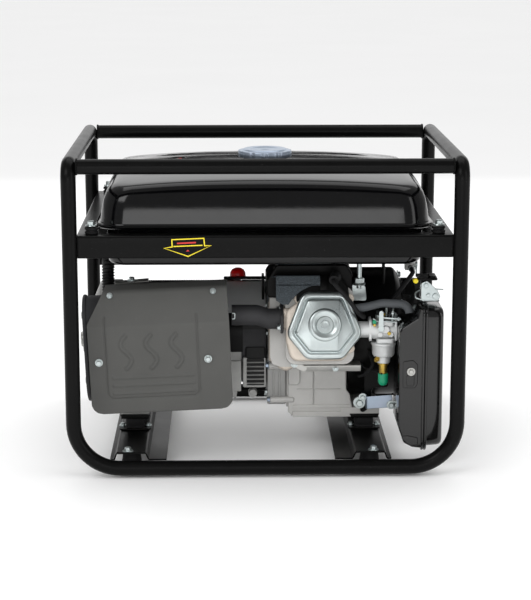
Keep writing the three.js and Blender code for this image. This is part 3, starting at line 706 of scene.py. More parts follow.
def corrugated_grower():
    """A ribbed conduit along an edge path."""
    tree = Grower("Corrugated", {
        "Radius": "Float", "Depth": "Float", "Pitch": "Float", "Finish": "Material"})
    curve = tree.node("GeometryNodeMeshToCurve", [tree.given("Geometry")])
    fine = tree.node("GeometryNodeResampleCurve", {
        "Curve": curve, "Length": tree.given("Pitch") / 7}, mode="LENGTH")
    along = tree.node("GeometryNodeSplineParameter", out="Length")
    wave = (along * (2 * math.pi) / tree.given("Pitch")).sine()
    size = tree.given("Radius") + tree.given("Depth") * wave
    ring = tree.node("GeometryNodeCurvePrimitiveCircle", {"Resolution": 28, "Radius": 1.0})
    made = tree.node("GeometryNodeCurveToMesh", {
        "Curve": fine, "Profile Curve": ring, "Scale": size, "Fill Caps": True})
    tree.close(tree.node("GeometryNodeSetShadeSmooth", [made]))
    return tree


GROWERS = {}


def grower(make):
    if make.__name__ not in GROWERS:
        GROWERS[make.__name__] = make()
    return GROWERS[make.__name__]


def finish_of(name):
    return bpy.data.materials[name]


def fasteners(name, places, finish="zinc", body="root", sides=6, height=0.62,
              washer=0.95):
    """Heads at (point, facing, width across), in millimetres."""
    mesh = bpy.data.meshes.new(name)
    mesh.from_pydata([Vector(point) * MM for point, _, _ in places], [], [])
    facing = mesh.attributes.new("facing", "FLOAT_VECTOR", "POINT")
    facing.data.foreach_set("vector", [part for _, way, _ in places for part in way])
    across = mesh.attributes.new("across", "FLOAT", "POINT")
    across.data.foreach_set("value", [width * MM for _, _, width in places])
    made = bpy.data.objects.new(name, mesh)
    bpy.context.scene.collection.objects.link(made)
    grower(fastener_grower).grow(
        made, sides=sides, head_height=height, washer=washer, finish=finish_of(finish))
    return settle(made, body)


def row(made, count, step, finish):
    return grower(row_grower).grow(
        made, count=count, step=tuple(Vector(step) * MM), finish=finish_of(finish))


def wheel(made, count, centre, turn, finish):
    return grower(wheel_grower).grow(
        made, count=count, centre=tuple(Vector(centre) * MM), turn=turn, finish=finish_of(finish))


def edge_path(name, points):
    mesh = bpy.data.meshes.new(name)
    edges = [(i, i + 1) for i in range(len(points) - 1)]
    mesh.from_pydata([Vector(p) * MM for p in points], edges, [])
    made = bpy.data.objects.new(name, mesh)
    bpy.context.scene.collection.objects.link(made)
    return made


def weld(name, points, bead=1.6, seed=1):
    made = edge_path(name, points)
    pitch = bpy.context.scene.generator_sizes.weld_pitch
    grower(weld_grower).grow(
        made, pitch=pitch, bead=bead * MM, seed=seed, finish=finish_of("frame_paint"))
    return settle(made)


# ---- stage ----
def aimed_light(name, place, target, size, power, tint=(1, 1, 1)):
    light = bpy.data.lights.new(name, "AREA")
    light.shape = "RECTANGLE"
    light.size, light.size_y = size
    light.energy = power
    light.color = tint
    made = bpy.data.objects.new(name, light)
    bpy.context.scene.collection.objects.link(made)
    made.location = place
    made.rotation_euler = (Vector(target) - Vector(place)).to_track_quat("-Z", "Y").to_euler()


class GENERATOR_OT_stage(bpy.types.Operator):
    """Camera, pale floor and soft studio light"""
    bl_idname = "generator.stage"
    bl_label = "Stage"

    def execute(self, context):
        self.camera(context.scene)
        self.floor()
        self.sky(context.scene)
        power = context.scene.generator_sizes.key_power
        aimed_light("key_light", (-1.6, -2.2, 2.4), (0, 0, 0.25), (1.6, 1.2), power)
        aimed_light("fill_light", (2.4, -1.8, 1.2), (0, 0, 0.25), (1.0, 1.8), power * 0.5)
        aimed_light("front_light", (-0.2, -3.0, 0.75), (0, 0, 0.22), (1.8, 0.5), power * 0.4)
        aimed_light("top_light", (0.1, 0.5, 2.4), (0, 0, 0.4), (2.2, 1.4), power * 0.6)
        aimed_light("back_light", (0, 3.0, 1.5), (0, 0, 0.45), (5.0, 2.0), power * 1.2)
        return {"FINISHED"}

    def camera(self, scene):
        lens = bpy.data.cameras.new("camera")
        lens.lens = 107.83
        camera = bpy.data.objects.new("camera", lens)
        camera.location = (-0.0628, -3.2585, 0.947)
        camera.rotation_euler = Euler((math.radians(78.068), 0, math.radians(-1.195)))
        scene.collection.objects.link(camera)
        scene.camera = camera
        scene.view_settings.view_transform = "Standard"

    def floor(self):
        finish = Finish("floor_paper")
        cloud = finish.noise(900, 2)
        finish.set(Base_Color=finish.mix(cloud, (0.93, 0.93, 0.93), (0.96, 0.96, 0.96)), Roughness=0.9)
        shape = Shape("floor_paper")
        shape.slab(circle(0, 0, 40000, 96), -20, 0, "Z", 1)
        floor = bare("floor", shape)

    def sky(self, scene):
        world = bpy.data.worlds.new("studio")
        scene.world = world
        world.use_nodes = True
        world.node_tree.nodes.clear()
        tree = Tree(world.node_tree)
        room = tree.node("ShaderNodeBackground", {"Color": (1, 1, 1, 1), "Strength": 0.98})
        dim = tree.node("ShaderNodeBackground", {"Color": (1, 1, 1, 1), "Strength": 0.3})
        gloss = tree.node("ShaderNodeLightPath", out="Is Glossy Ray")
        mixed = tree.node("ShaderNodeMixShader", [gloss, room, dim])
        tree.node("ShaderNodeOutputWorld", [mixed])


class GENERATOR_OT_finishes(bpy.types.Operator):
    """Materials; those named as the frame's own also repaint the pieces that come straight from it"""
    bl_idname = "generator.finishes"
    bl_label = "Finishes"

    def execute(self, context):
        make_finishes(context.scene.generator_colours)
        return {"FINISHED"}


# ---- frame ----
def loop_path(side, steps):
    """Centre line of one bent tube: half of the top, down, along the floor and up again."""
    y = side * TUBE_Y
    corners = [
        (-TUBE_X, side * 0.15, TOP_TUBE_Z),
        ((-TUBE_X, y, TOP_TUBE_Z), 26),
        ((-TUBE_X, y, LOW_TUBE_Z), 80),
        ((TUBE_X, y, LOW_TUBE_Z), 80),
        ((TUBE_X, y, TOP_TUBE_Z), 26),
        (TUBE_X, side * 0.15, TOP_TUBE_Z),
    ]
    return rounded(corners, 0, steps, closed=False)


def ring_path(centre, radius, axis, count=40):
    turn = TURNS[axis]
    angles = [2 * math.pi * k / count for k in range(count + 1)]
    return [Vector(centre) + turn @ Vector((radius * math.cos(t), radius * math.sin(t), 0))
            for t in angles]


class GENERATOR_OT_frame(bpy.types.Operator):
    """Bent tubes, top rails, the folded support under the tank and the weld beads"""
    bl_idname = "generator.frame"
    bl_label = "Frame"

    def execute(self, context):
        sizes = context.scene.generator_sizes
        for place, side in (("engine_side", -1), ("panel_side", 1)):
            shape = Shape("frame_paint")
            shape.tube(loop_path(side, sizes.bend_steps), TUBE_R, sizes.tube_sides)
            piece(f"bent_tube_{place}", shape, "root", [f"frame_loop_{place}"])
            shape = Shape("frame_paint")
            shape.tube([(-INNER_X, side * RAIL_Y, RAIL_Z), (INNER_X, side * RAIL_Y, RAIL_Z)],
                       TUBE_R - 0.05, sizes.tube_sides)
            piece(f"rail_{place}", shape, "root", [f"top_rail_{place}"])
            for end, way in (("left", -1), ("right", 1)):
                place_of = (way * (INNER_X - 0.8), side * RAIL_Y, RAIL_Z)
                weld(f"rail_weld_{place}_{end}", ring_path(place_of, TUBE_R, "X"), 1.7, 3 + side + way)
        self.support()
        return {"FINISHED"}

    def support(self):
        low, high = span("tank_support_frame")
        shape = Shape("frame_paint")
        for side in (-1, 1):
            web = side * (TUBE_Y + 0.4)
            profile = [(web - side * 31, high.z - 1.2), (web, high.z - 1.2),
                       (web, low.z + 1.2), (web - side * 11, low.z + 1.2)]
            shape.slab(folded(profile, 2.2, 3.2), -INNER_X, INNER_X, "X", 0.3, 1)
            web = side * (INNER_X + 2)
            end = TUBE_Y - TUBE_R - 0.8
            profile = [(web - side * 33, high.z - 1.4), (web, high.z - 1.4),
                       (web, low.z + 1.2), (web - side * 11, low.z + 1.2)]
            shape.slab(folded(profile, 2.2, 3.2), -end, end, "Y", 0.3, 1)
        piece("support_rails", shape, "root", ["tank_support_frame"])
        for side in (-1, 1):
            for way, end in ((-1, "left"), (1, "right")):
                x = way * (INNER_X - 0.6)
                y = side * (TUBE_Y + 2.6 * 0.5)
                path = [(x, y, low.z + 3 + k) for k in range(int(high.z - low.z) - 5)]
                weld(f"apron_weld_{end}_{'near' if side < 0 else 'far'}", path, 1.6, 11 + way)


class GENERATOR_OT_base(bpy.types.Operator):
    """Hat channels, rubber feet and vibration mounts"""
    bl_idname = "generator.base"
    bl_label = "Base"

    def execute(self, context):
        for end in ("left", "right"):
            self.channel(end)
            for place in ("engine_side", "panel_side"):
                self.foot(f"rubber_foot_{end}_{place}")
                self.mount(f"vibration_mount_{end}_{place}")
        self.bolts()
        return {"FINISHED"}

    def channel(self, end):
        node = f"base_channel_{end}"
        low, high = span(node)
        crown = middle(f"vibration_mount_{end}_engine_side").x
        out = 1 if end == "right" else -1
        t = 2.6
        profile = [(crown + out * offset, z) for offset, z in (
            (37, low.z + t / 2), (29.5, low.z + t / 2), (25.5, high.z - t / 2), (-25.5, high.z - t / 2),
            (-30.5, low.z + t / 2), (-61.5, low.z + t / 2))]
        shape = Shape("frame_paint")
        shape.slab(folded(profile, t, 3), low.y, high.y, "Y", 0.4, 1)
        piece(f"hat_channel_{end}", shape, "root", [node])
        for side in (-1, 1):
            y = side * (high.y - 0.6)
            path = [(crown - 24 + k, y, high.z + 0.2) for k in range(49)]
            weld(f"channel_weld_{end}_{'near' if side < 0 else 'far'}", path, 1.4, 20 + side)

    def foot(self, node):
        low, high = span(node)
        x, y, _ = middle(node)
        r = (high.x - low.x) / 2
        shape = Shape("rubber")
        shape.turned([(low.z, 0.4), (low.z, r - 2.5), (low.z + 0.8, r - 0.8), (low.z + 2.5, r),
                      (low.z + 8, r), (low.z + 11, r - 2.5), (high.z - 8, r - 5), (high.z - 3, r - 5),
                      (high.z, r - 4.2), (high.z, 0.4)], (x, y, 0), "Z", 40)
        piece(f"{node}_boot", shape, "root", [node])

    def mount(self, node):
        low, high = span(node)
        x, y, _ = middle(node)
        shape = Shape("frame_paint")
        plate = 2.8
        shape.slab(rectangle(x - 29, x + 29, y - 23, y + 23, 5), low.z, low.z + plate, "Z", 0.7)
        shape.slab(rectangle(x - 27, x + 27, y - 21, y + 21, 5), high.z - plate, high.z, "Z", 0.7)
        for side in (-1, 1):
            tab = y + side * 20
            shape.slab(rectangle(x - 25, x + 25, tab - 1, tab + 1, 0.8, 1), high.z - 7, high.z - 1, "Z", 0.4)
        shape.use("rubber")
        block = rectangle(x - 17, x + 17, y - 17, y + 17, 6)
        tall = high.z - low.z - 2 * plate
        waists = [(0, 0), (0.12, 1.2), (0.3, 0.2), (0.5, -0.6), (0.7, 0.2), (0.88, 1.2), (1, 0)]
        shape.rings([[Vector((p.x, p.y, low.z + plate + tall * part)) for p in inset(block, waist)]
                     for part, waist in waists])
        piece(f"{node}_stack", shape, "root", [node])

    def bolts(self):
        places = []
        for end in ("left", "right"):
            out = 1 if end == "right" else -1
            for place, side in (("engine_side", -1), ("panel_side", 1)):
                low = span(f"vibration_mount_{end}_{place}")[0]
                x, y, _ = middle(f"vibration_mount_{end}_{place}")
                crown = span(f"base_channel_{end}")[1].z
                places.append(((x + out * 6, side * 238, crown), (0, 0, 1), 10))
                for way in (-1, 1):
                    places.append(((x + way * 23.5, y, low.z + 2.8), (0, 0, 1), 7))
        fasteners("base_bolts", places)


# ---- tank ----
def plan(half_x, half_y, corner, steps=14):
    """A round-cornered rectangle with points along its straight sides too."""
    outline = rectangle(-half_x, half_x, -half_y, half_y, corner, steps)
    made = []
    for i, here in enumerate(outline):
        before = outline[i - 1]
        cuts = 24 if i % (steps + 1) == 0 else 1
        made += [before.lerp(here, (k + 1) / cuts) for k in range(cuts)]
    return made


class GENERATOR_OT_tank(bpy.types.Operator):
    """Pressed tank halves, cap, gauge and the rubber-mounted corner bolts"""
    bl_idname = "generator.tank"
    bl_label = "Tank"

    def execute(self, context):
        self.low, self.high = span("fuel_tank_upper")
        self.seam = self.low.z
        self.cap_x, self.cap_y, _ = middle("fuel_cap")
        self.upper()
        self.lower()
        self.cap()
        self.gauge()
        self.corners()
        return {"FINISHED"}

    def crown(self, x, y):
        """Height of the crowned top, with two pressed ribs."""
        half_x, half_y = self.high.x - 8, self.high.y - 8
        top = 520.6 - 13 * abs(x / half_x) ** 2.4 - 13 * abs(y / half_y) ** 2.4
        for rib in (-1, 1):
            across = (y - rib * 118) / 11
            ends = max(0.0, 1 - (abs(x) / 215) ** 8)
            top += 2.0 * math.exp(-across * across) * ends
        return top

    def upper(self):
        edge_x, edge_y = self.high.x, self.high.y
        body_x, body_y = edge_x - 8, edge_y - 8
        shape = Shape("tank_paint")
        loops = []
        hem = [(6, 0.3), (1, 0.3), (0, 1.4), (1, 2.7), (6.4, 2.8), (7.6, 3.6)]
        for shrink, rise in hem:
            flat = plan(edge_x - shrink, edge_y - shrink, 54 - shrink)
            loops.append([Vector((p.x, p.y, self.seam + rise)) for p in flat])
        wall = [(0, 6), (1, 14), (2.2, 24), (3.8, 34), (5.8, 43), (8.4, 50)]
        for shrink, rise in wall:
            flat = plan(body_x - shrink, body_y - shrink, 46 - shrink * 0.4)
            loops.append([Vector((p.x, p.y, self.seam + rise)) for p in flat])
        base = self.seam + 50
        shoulder = [(10.2, 0.3), (13.2, 0.55), (17.5, 0.77), (23, 0.92), (30, 0.98)]
        for shrink, part in shoulder:
            flat = plan(body_x - shrink, body_y - shrink, 46 - shrink * 0.4)
            loops.append([Vector((p.x, p.y, base + (self.crown(p.x, p.y) - base) * part)) for p in flat])
        for k in range(1, 26):
            share = 1 - k / 26
            flat = plan((body_x - 30) * share + 0.5, (body_y - 30) * share + 0.5, 34 * share + 0.3)
            loops.append([Vector((p.x, p.y, self.crown(p.x, p.y))) for p in flat])
        shape.rings(loops)
        neck = middle("fuel_cap_gasket")
        top = span("fuel_cap_gasket")[0].z - 0.3
        shape.turned([(505, 36), (top - 0.6, 36), (top, 36.6), (top, 39.4), (top - 0.6, 40), (505, 40)],
                     (neck.x, neck.y, 0), "Z", 64, closed=True)
        piece("tank_dome", shape, "root", ["fuel_tank_upper"], sharp=50)

    def lower(self):
        low, high = span("fuel_tank_lower")
        shape = Shape("tank_paint")
        loops = []
        for shrink, drop in ((6, 0), (0.8, 0), (0, 1.2), (0.8, 2.6), (7, 3), (14, 3.2), (17.5, 5)):
            flat = plan(high.x - shrink, high.y - min(shrink * 1.9, 33), 50 - shrink)
            loops.append([Vector((p.x, p.y, high.z - drop)) for p in flat])
        depth = high.z - low.z
        for shrink, drop in ((18.2, 12), (19, depth - 14), (21, depth - 6), (26, depth - 1), (32, depth)):
            flat = plan(high.x - shrink, high.y - 16 - shrink, 44 - shrink * 0.6)
            loops.append([Vector((p.x, p.y, high.z - drop)) for p in flat])
        shape.rings(loops)
        piece("tank_pan", shape, "root", ["fuel_tank_lower"], sharp=50)

    def cap(self):
        low, high = span("fuel_cap")
        r = (high.x - low.x) / 2 - 0.2
        count = 144
        shape = Shape("blue_zinc")

        def scalloped(radius, depth, z):
            made = []
            for k in range(count):
                turn = 2 * math.pi * k / count
                reach = radius - depth * max(0.0, math.cos(12 * turn)) ** 3
                made.append((self.cap_x + reach * math.cos(turn),
                             self.cap_y + reach * math.sin(turn), z))
            return made
        top = high.z
        shape.rings([
            scalloped(r - 5, 0, low.z), scalloped(r - 1, 2, low.z), scalloped(r, 2.4, low.z + 1.2),
            scalloped(r, 2.4, top - 5), scalloped(r - 0.6, 2.3, top - 3.4),
            scalloped(r - 3, 1.2, top - 2.5), scalloped(r - 8, 0, top - 2.2),
            scalloped(r - 9.4, 0, top - 0.7),
            scalloped(r - 11, 0, top), scalloped(24, 0, top), scalloped(22, 0, top - 1.2),
            scalloped(9, 0, top - 1.4), scalloped(7.5, 0, top - 0.6), scalloped(1, 0, top - 0.5)])
        piece("cap_shell", shape, "cap", ["fuel_cap"], sharp=40)

    def gauge(self):
        low, high = span("fuel_gauge")
        x, y, _ = middle("fuel_gauge")
        shape = Shape("black_plastic")
        shape.turned([(low.z, 16), (518.4, 16), (519.6, 15.2), (high.z, 14), (high.z, 12.4),
                      (522.4, 12), (522.4, 11), (low.z, 11)], (x, y, 0), "Z", 48, closed=True)
        shape.use("white_print")
        shape.turned([(low.z, 0.3), (low.z, 11), (521.4, 11), (521.4, 0.3)], (x, y, 0), "Z", 40)
        shape.use("black_plastic")
        for k in range(7):
            turn = math.radians(-60 + 20 * k)
            inner, outer = 8.2, 10.2
            shape.rod((x + inner * math.sin(turn), y + inner * math.cos(turn), 521.7),
                      (x + outer * math.sin(turn), y + outer * math.cos(turn), 521.7), 0.3, 0.05, 6)
        shape.use("red_print")
        shape.rod((x - 1.4, y - 1, 522.1), (x + 5, y + 7.4, 522.1), 0.45, 0.1, 6)
        piece("gauge_dial", shape, "root", ["fuel_gauge"])

    def corners(self):
        shape = Shape("rubber")
        places = []
        for way in (-1, 1):
            for side in (-1, 1):
                x, y = way * 296, side * 237
                base = span("tank_support_frame")[1].z
                shape.turned([(base + 0.2, 4), (base + 0.2, 10.5), (base + 1.4, 11.5), (base + 4, 11.5),
                              (base + 5.2, 9.4), (base + 6.6, 9.4), (base + 7.8, 11.5), (base + 10.4, 11.5),
                              (base + 11.8, 10.3), (base + 11.8, 4)], (x, y, 0), "Z", 32)
                shape.use("tank_paint")
                shape.slab(rounded([(x - 12 * way, y - 14), (x + 10, y - 13), (x + 10, y + 13),
                                    (x - 12 * way - 8, y + 14)], 4, 3), base + 12, base + 14, "Z", 0.4)
                shape.use("rubber")
                places.append(((x, y, base + 14), (0, 0, 1), 11))
        piece("tank_grommets", shape, "root")
        fasteners("tank_bolts", places)


# ---- exhaust ----
def wave_distance(x, z, centre_x, low, high, swing, turns):
    """Distance from a rising heat wave that is drawn as one wavy stroke."""
    part = (z - low) / (high - low)
    if part < 0 or part > 1:
        end = low if part < 0 else high
        phase = 0 if part < 0 else turns
        tip = centre_x + swing * math.sin(2 * math.pi * phase)
        return math.hypot(x - tip, z - end)
    slope = swing * 2 * math.pi * turns / (high - low)
    offset = x - centre_x - swing * math.sin(2 * math.pi * turns * part)
    return abs(offset) / math.hypot(1, slope * math.cos(2 * math.pi * turns * part))


def stroke(distance, half, height):
    """Cross-section of a pressed bead."""
    return height * max(0.0, 1 - (distance / half) ** 2) ** 1.5 if distance < half else 0.0


class GENERATOR_OT_exhaust(bpy.types.Operator):
    """Embossed heat shield, muffler, elbow and their bolts"""
    bl_idname = "generator.exhaust"
    bl_label = "Exhaust"

    fold_z = 46.0
    top_z = 112.0

    def execute(self, context):
        self.shield()
        self.muffler()
        self.elbow()
        self.fittings()
        return {"FINISHED"}

    def embossing(self, x, s):
        """Pressed relief over the flat face: frame, three ribs and three heat waves."""
        left, right, low = -94.0, 67.0, -84.0
        height = 0.0
        if s <= self.fold_z + 16:
            for edge in (left, right):
                if s > low + 12:
                    height += stroke(abs(x - edge), 3.2, -2.2)
        corner = 12.0
        inside_x = min(x - left, right - x)
        if s < low + corner and inside_x > -4:
            reach_x = max(corner - inside_x, 0)
            reach_z = corner - (s - low)
            height += stroke(abs(math.hypot(reach_x, reach_z) - corner), 3.2, -2.2)
        if left + 10 < x < right - 8:
            for level in (-46, -60, -74):
                height += stroke(abs(s - level), 3.0, 1.9)
        for centre in (-58, -14, 30):
            height += stroke(wave_distance(x, s, centre, -30, 28, 9, 1), 4.4, 3.2)
        return height

    def shield(self):
        line = rounded([(-54.6, -110), ((-54.6, 46), 9), ((-31, 103), 12), (-8, 110.6)], 0, 8, closed=False)
        fine = []
        for one, two in zip(line, line[1:]):
            cuts = max(1, int((two - one).length / 1.7))
            fine += [one.lerp(two, k / cuts) for k in range(cuts)]
        fine.append(line[-1])
        shape = Shape("heat_paint", MUFFLER_PLACE)
        columns = 190
        rows = []
        for i, here in enumerate(fine):
            ahead = fine[min(i + 1, len(fine) - 1)] - fine[max(i - 1, 0)]
            out = Vector((-ahead.y, ahead.x)).normalized()
            z = here.y
            foot = z + 110
            round_off = 20 - math.sqrt(max(0.0, 400 - (20 - foot) ** 2)) if foot < 20 else 0
            taper = 0 if z < 50 else (z - 50) * 0.56
            left = -123.4 + round_off + taper
            right = 123.6 - round_off - max(0.0, (z - 46) * 0.03)
            points = []
            for k in range(columns + 1):
                x = left + (right - left) * k / columns
                rise = self.embossing(x, z) if z < self.fold_z + 24 else 0.0
                points.append(shape.mesh.verts.new(MUFFLER_PLACE @ Vector(
                    (x, here.x + out.x * rise, z + out.y * rise))))
            rows.append(points)
        for one, two in zip(rows, rows[1:]):
            for k in range(columns):
                shape.face((one[k], one[k + 1], two[k + 1], two[k]))
        made = bare("shield_sheet", shape, 60)
        solidify = made.modifiers.new("Thickness", "SOLIDIFY")
        solidify.thickness = 1.4 * MM
        solidify.offset = 0
        settle(made, "root", ["heat_shield"])

    def muffler(self):
        shape = Shape("cast_iron", MUFFLER_PLACE)
        outline = rectangle(-43, 46, -98, 93, 43, 12)
        loops = []
        for x, shrink in ((-132, 10), (-132, 3), (-131, 0.6), (-128.5, 0), (-126, 0.6), (-125, 2.4),
                          (-122, 2.6), (110, 2.6), (113, 2.4), (114, 0.6), (116.5, 0), (119, 0.6),
                          (120, 3), (120, 10)):
            loops.append([Vector((x, p.x, p.y)) for p in inset(outline, shrink)])
        shape.rings(loops)
        for z in (-54, 4, 62):
            rib = rectangle(-34, 37, z - 7, z + 7, 6.9, 6)
            shape.slab(rib, -133.4, -131, "X", 1.2)
        shape.use("steel")
        shape.turned([(-139, 10.8), (-139, 12.4), (-138, 13.4), (-130, 13.4), (-130, 10.8)],
                     (0, 0, 14), "X", 40, closed=True)
        piece("muffler_can", shape, "root", ["muffler_body"], sharp=40)

    def elbow(self):
        y = -159
        shape = Shape("cast_iron")
        path = rounded([(29, y, 258), ((8, y, 258), 22), ((-14, y, 265), 30), (-58, y, 265)], 0, 8,
                       closed=False)
        fine = []
        for one, two in zip(path, path[1:]):
            fine += [one.lerp(two, k / 2) for k in range(2)]
        fine.append(path[-1])
        radii = [18.3 - 1.1 * math.exp(-((p.x + 4) / 9) ** 2) for p in fine]
        shape.tube(fine, radii, 36)
        ear = rounded([(y - 30, 240), (y - 14, 234), (y + 16, 256), (y + 30, 274), (y + 16, 284),
                       (y - 20, 268)], 8, 5)
        shape.slab(ear, 27.7, 33, "X", 1.2)
        piece("elbow_pipe", shape, "root", ["exhaust_elbow"], sharp=50)
        fasteners("elbow_nuts", [((27.6, y - 22, 247), (-1, 0, 0), 8), ((27.6, y + 20, 271), (-1, 0, 0), 8)])

    def fittings(self):
        turn = MUFFLER_PLACE.to_3x3()
        face = -55.6
        slope = (Vector((0, -58, 24))).normalized()
        spots = [((-106, face, -17), (0, -1, 0), 9), ((84, face, -19), (0, -1, 0), 9)]
        places = [(MUFFLER_PLACE @ Vector(p), turn @ Vector(n), w) for p, n, w in spots]
        for x in (-82, 98):
            point = Vector((x, -35.4, 97))
            places.append((MUFFLER_PLACE @ point, turn @ slope, 7))
        fasteners("shield_bolts", places, washer=0.78)
        shape = Shape("steel")
        shape.slab(folded([(-264, 318), (-205, 323)], 2.4, 0), -140, -118, "Y", 0.4, 1)
        shape.use("blue_zinc")
        shape.block(-206, -72, -130, -124, 309, 312.5, 0.8)
        piece("muffler_strap", shape, "root")
        fasteners("strap_bolt", [((-235, -129, 321.6), (0, 0, 1), 9)])
        shape = Shape("zinc")
        hook = rounded([(-57, -176, 272), ((-52.5, -176, 272), 2), ((-52.5, -176, 262), 2), (-57, -176, 262)],
                       0, 4, closed=False)
        shape.tube(hook, 1.4, 12)
        piece("shield_clip", shape, "root")


# ---- engine ----
HEAD_NEAR = -192.0
HEAD_FAR = -146.3
CYLINDER_MID = Vector((105, -4))


class GENERATOR_OT_castings(bpy.types.Operator):
    """Cylinder head, finned barrel dressing, crankcase cover, ribs, bosses and bolts"""
    bl_idname = "generator.castings"
    bl_label = "Castings"

    def execute(self, context):
        self.head(context.scene.generator_sizes)
        self.block()
        self.cover()
        self.strip()
        return {"FINISHED"}

    def head(self, sizes):
        """A smooth near casting with fins behind it."""
        shape = Shape("warm_aluminium", CYLINDER_PLACE)
        front = rounded([(46, -66), (140, -66), (157, -30), (157, 22), (140, 48), (70, 48), (37, 22),
                         (37, -30)],
                        16, 6)
        stack = [(9, HEAD_NEAR + 0.2), (4, HEAD_NEAR + 0.4), (1.2, HEAD_NEAR + 2.4), (0.2, HEAD_NEAR + 6),
                 (0, HEAD_NEAR + 14), (2, HEAD_NEAR + 17), (6, HEAD_NEAR + 18), (6, HEAD_FAR - 0.5)]
        shape.rings([[Vector((p.x, y, p.y)) for p in inset(front, shrink)] for shrink, y in stack])
        port = rounded([(-182, -12), (-182, 26), (-152, 34), (-152, -6)], 9, 5)
        shape.slab(port, 33.4, 60, "X", 2.0)
        for x, z in ((60, -44), (150, -44), (60, 44), (150, 44)):
            shape.turned([(HEAD_NEAR + 8, 0.4), (HEAD_NEAR + 8, 7), (HEAD_NEAR + 9, 8), (HEAD_FAR - 2, 8),
                          (HEAD_FAR - 2, 0.4)], (x, 0, z), "Y", 24)
        piece("head_casting", shape, "root", ["cylinder_head"], sharp=40)
        fin = Shape("cast_aluminium", CYLINDER_PLACE)
        thick = sizes.fin_thickness / MM
        start = HEAD_NEAR + 19
        fin.slab(rectangle(37, 157.5, -71, 67, 18, 6), start, start + thick, "Y", 0.7)
        step = CYLINDER_PLACE.to_3x3() @ Vector((0, 6.2, 0))
        settle(row(bare("head_fins", fin), 4, step, "cast_aluminium"), "root")

    def block(self):
        """Rounded lobes that close the cylinder's left side, and ribs over the crankcase."""
        shape = Shape("warm_aluminium", CYLINDER_PLACE)
        lobe = rounded([(8, -62), (38, -82), (60, -70), (60, 60), (36, 80), (8, 66)], 14, 6)
        shape.rings([[Vector((p.x, y, p.y)) for p in inset(lobe, shrink)] for shrink, y in (
            (8, -143.5), (3, -142.8), (0.6, -140.6), (0, -137), (0, -112), (2, -110))])
        shape.place = Matrix.Identity(4)
        shape.use("cast_aluminium")
        shelf = rounded([(54, 62), (160, 62), (163, 70), (156, 104), (150, 112), (148, 168), (52, 168),
                         (44, 160), (44, 70)], 5, 4)
        shape.slab(shelf, -99.5, -95.5, "Y", 2.0, 3)
        for x0, x1, z0, z1, near in ((52, 164, 62, 72, -103), (52, 160, 78, 84, -101.6),
                                     (66, 122, 150, 157, -101.4),
                                     (88, 92, 84, 150, -100.8), (60, 140, 112, 114.5, -100.6)):
            shape.slab(rectangle(x0, x1, z0, z1, 2, 3), near, -96, "Y", 1)
        shape.slab(rounded([(44, 122), (62, 122), (66, 128), (66, 160), (60, 167), (44, 167)], 5, 5),
                   -106, -92, "Y", 3, 4)
        for z, start, end, radius in ((158, 9, 66, 8), (94, 11, 56, 6)):
            shape.turned([(start, 0.4), (start, radius - 1.2), (start + 1, radius), (end - 3, radius),
                          (end, radius - 3), (end, 0.4)], (0, -97, z), "X", 32)
        shape.use("die_casting")
        side = rounded([(-96, 84), (-60, 80), (-60, 180), (-92, 180), (-96, 172)], 6, 4)
        shape.slab(side, 6.5, 40.6, "X", 2.4, 3)
        for x in (16, 27):
            shape.slab(rounded([(-98.6, 92), (-92, 88), (-92, 168), (-98.6, 164)], 2, 2), x, x + 3, "X", 0.8)
        piece("casting_dress", shape, "root", sharp=40)
        fasteners("casting_bolts", [((9.2, -97, 158), (-1, 0, 0), 8), ((11.2, -97, 94), (-1, 0, 0), 7)],
                  "blue_zinc")
        fin = Shape("cast_aluminium", CYLINDER_PLACE)
        fin.slab(rectangle(120, 151.5, -70, 78, 12, 4), -143, -140.6, "Y", 0.7)
        step = CYLINDER_PLACE.to_3x3() @ Vector((0, 6.6, 0))
        settle(row(bare("barrel_fins", fin), 5, step, "cast_aluminium"), "root")

    def cover(self):
        """Bolted side cover, with a bead along its joint."""
        shape = Shape("die_casting")
        sides = (-88, 88, 82, 286)
        outer = shrunk(sides, 30, 0)
        shape.rings([[Vector((x, p.x, p.y)) for p in shrunk(sides, 30, shrink)] for x, shrink in (
            (41.3, 0), (35, 0), (33.6, 0.6), (33, 2.4), (32.4, 5.6), (22, 6.6), (9, 8), (6, 10), (5, 14),
            (5, 66))], caps=False)
        inner = [Vector((5, p.x, p.y)) for p in shrunk(sides, 30, 66)]
        shape.rings([inner, [p + Vector((34, 0, 0)) for p in inner]], caps=False)
        shape.rings([[p + Vector((34, 0, 0)) for p in inner],
                     [Vector((41.3, p.x, p.y)) for p in outer]], caps=False)
        shape.turned([(4.8, 19), (4.8, 26), (6.4, 27.6), (12, 27.6), (12, 19)], (0, 0, CRANK_Z), "X", 40,
                     closed=True)
        bolts = []
        for y, z in ((-78, 104), (-78, 160), (-80, 214), (-70, 264), (0, 276), (70, 264), (80, 200),
                     (78, 130), (50, 92), (-40, 91)):
            shape.turned([(8, 0.4), (8, 6.2), (9, 7.2), (36, 8), (36, 0.4)], (0, y, z), "X", 20)
            bolts.append(((8.2, y, z), (-1, 0, 0), 8))
        piece("cover_casting", shape, "root", ["crankcase_cover"], sharp=40)
        fasteners("cover_bolts", bolts)

    def strip(self):
        """Pressed air deflector under the valve cover."""
        shape = Shape("steel")
        shape.slab(folded([(-162, 163), (-166, 174), (-146, 177)], 1.6, 1.5), 66, 171, "X", 0.3, 1)
        shape.slab(rounded([(48, 181), (58, 168), (69, 163), (75, 166), (75, 172), (60, 179)], 2, 3),
                   -166, -163.6, "Y", 0.5)
        piece("air_deflector", shape, "root")
        fasteners("deflector_screw", [((126, -164.6, 168.5), (0, -1, 0), 6),
                                      ((53, -166, 177), (0, -1, 0), 7)])


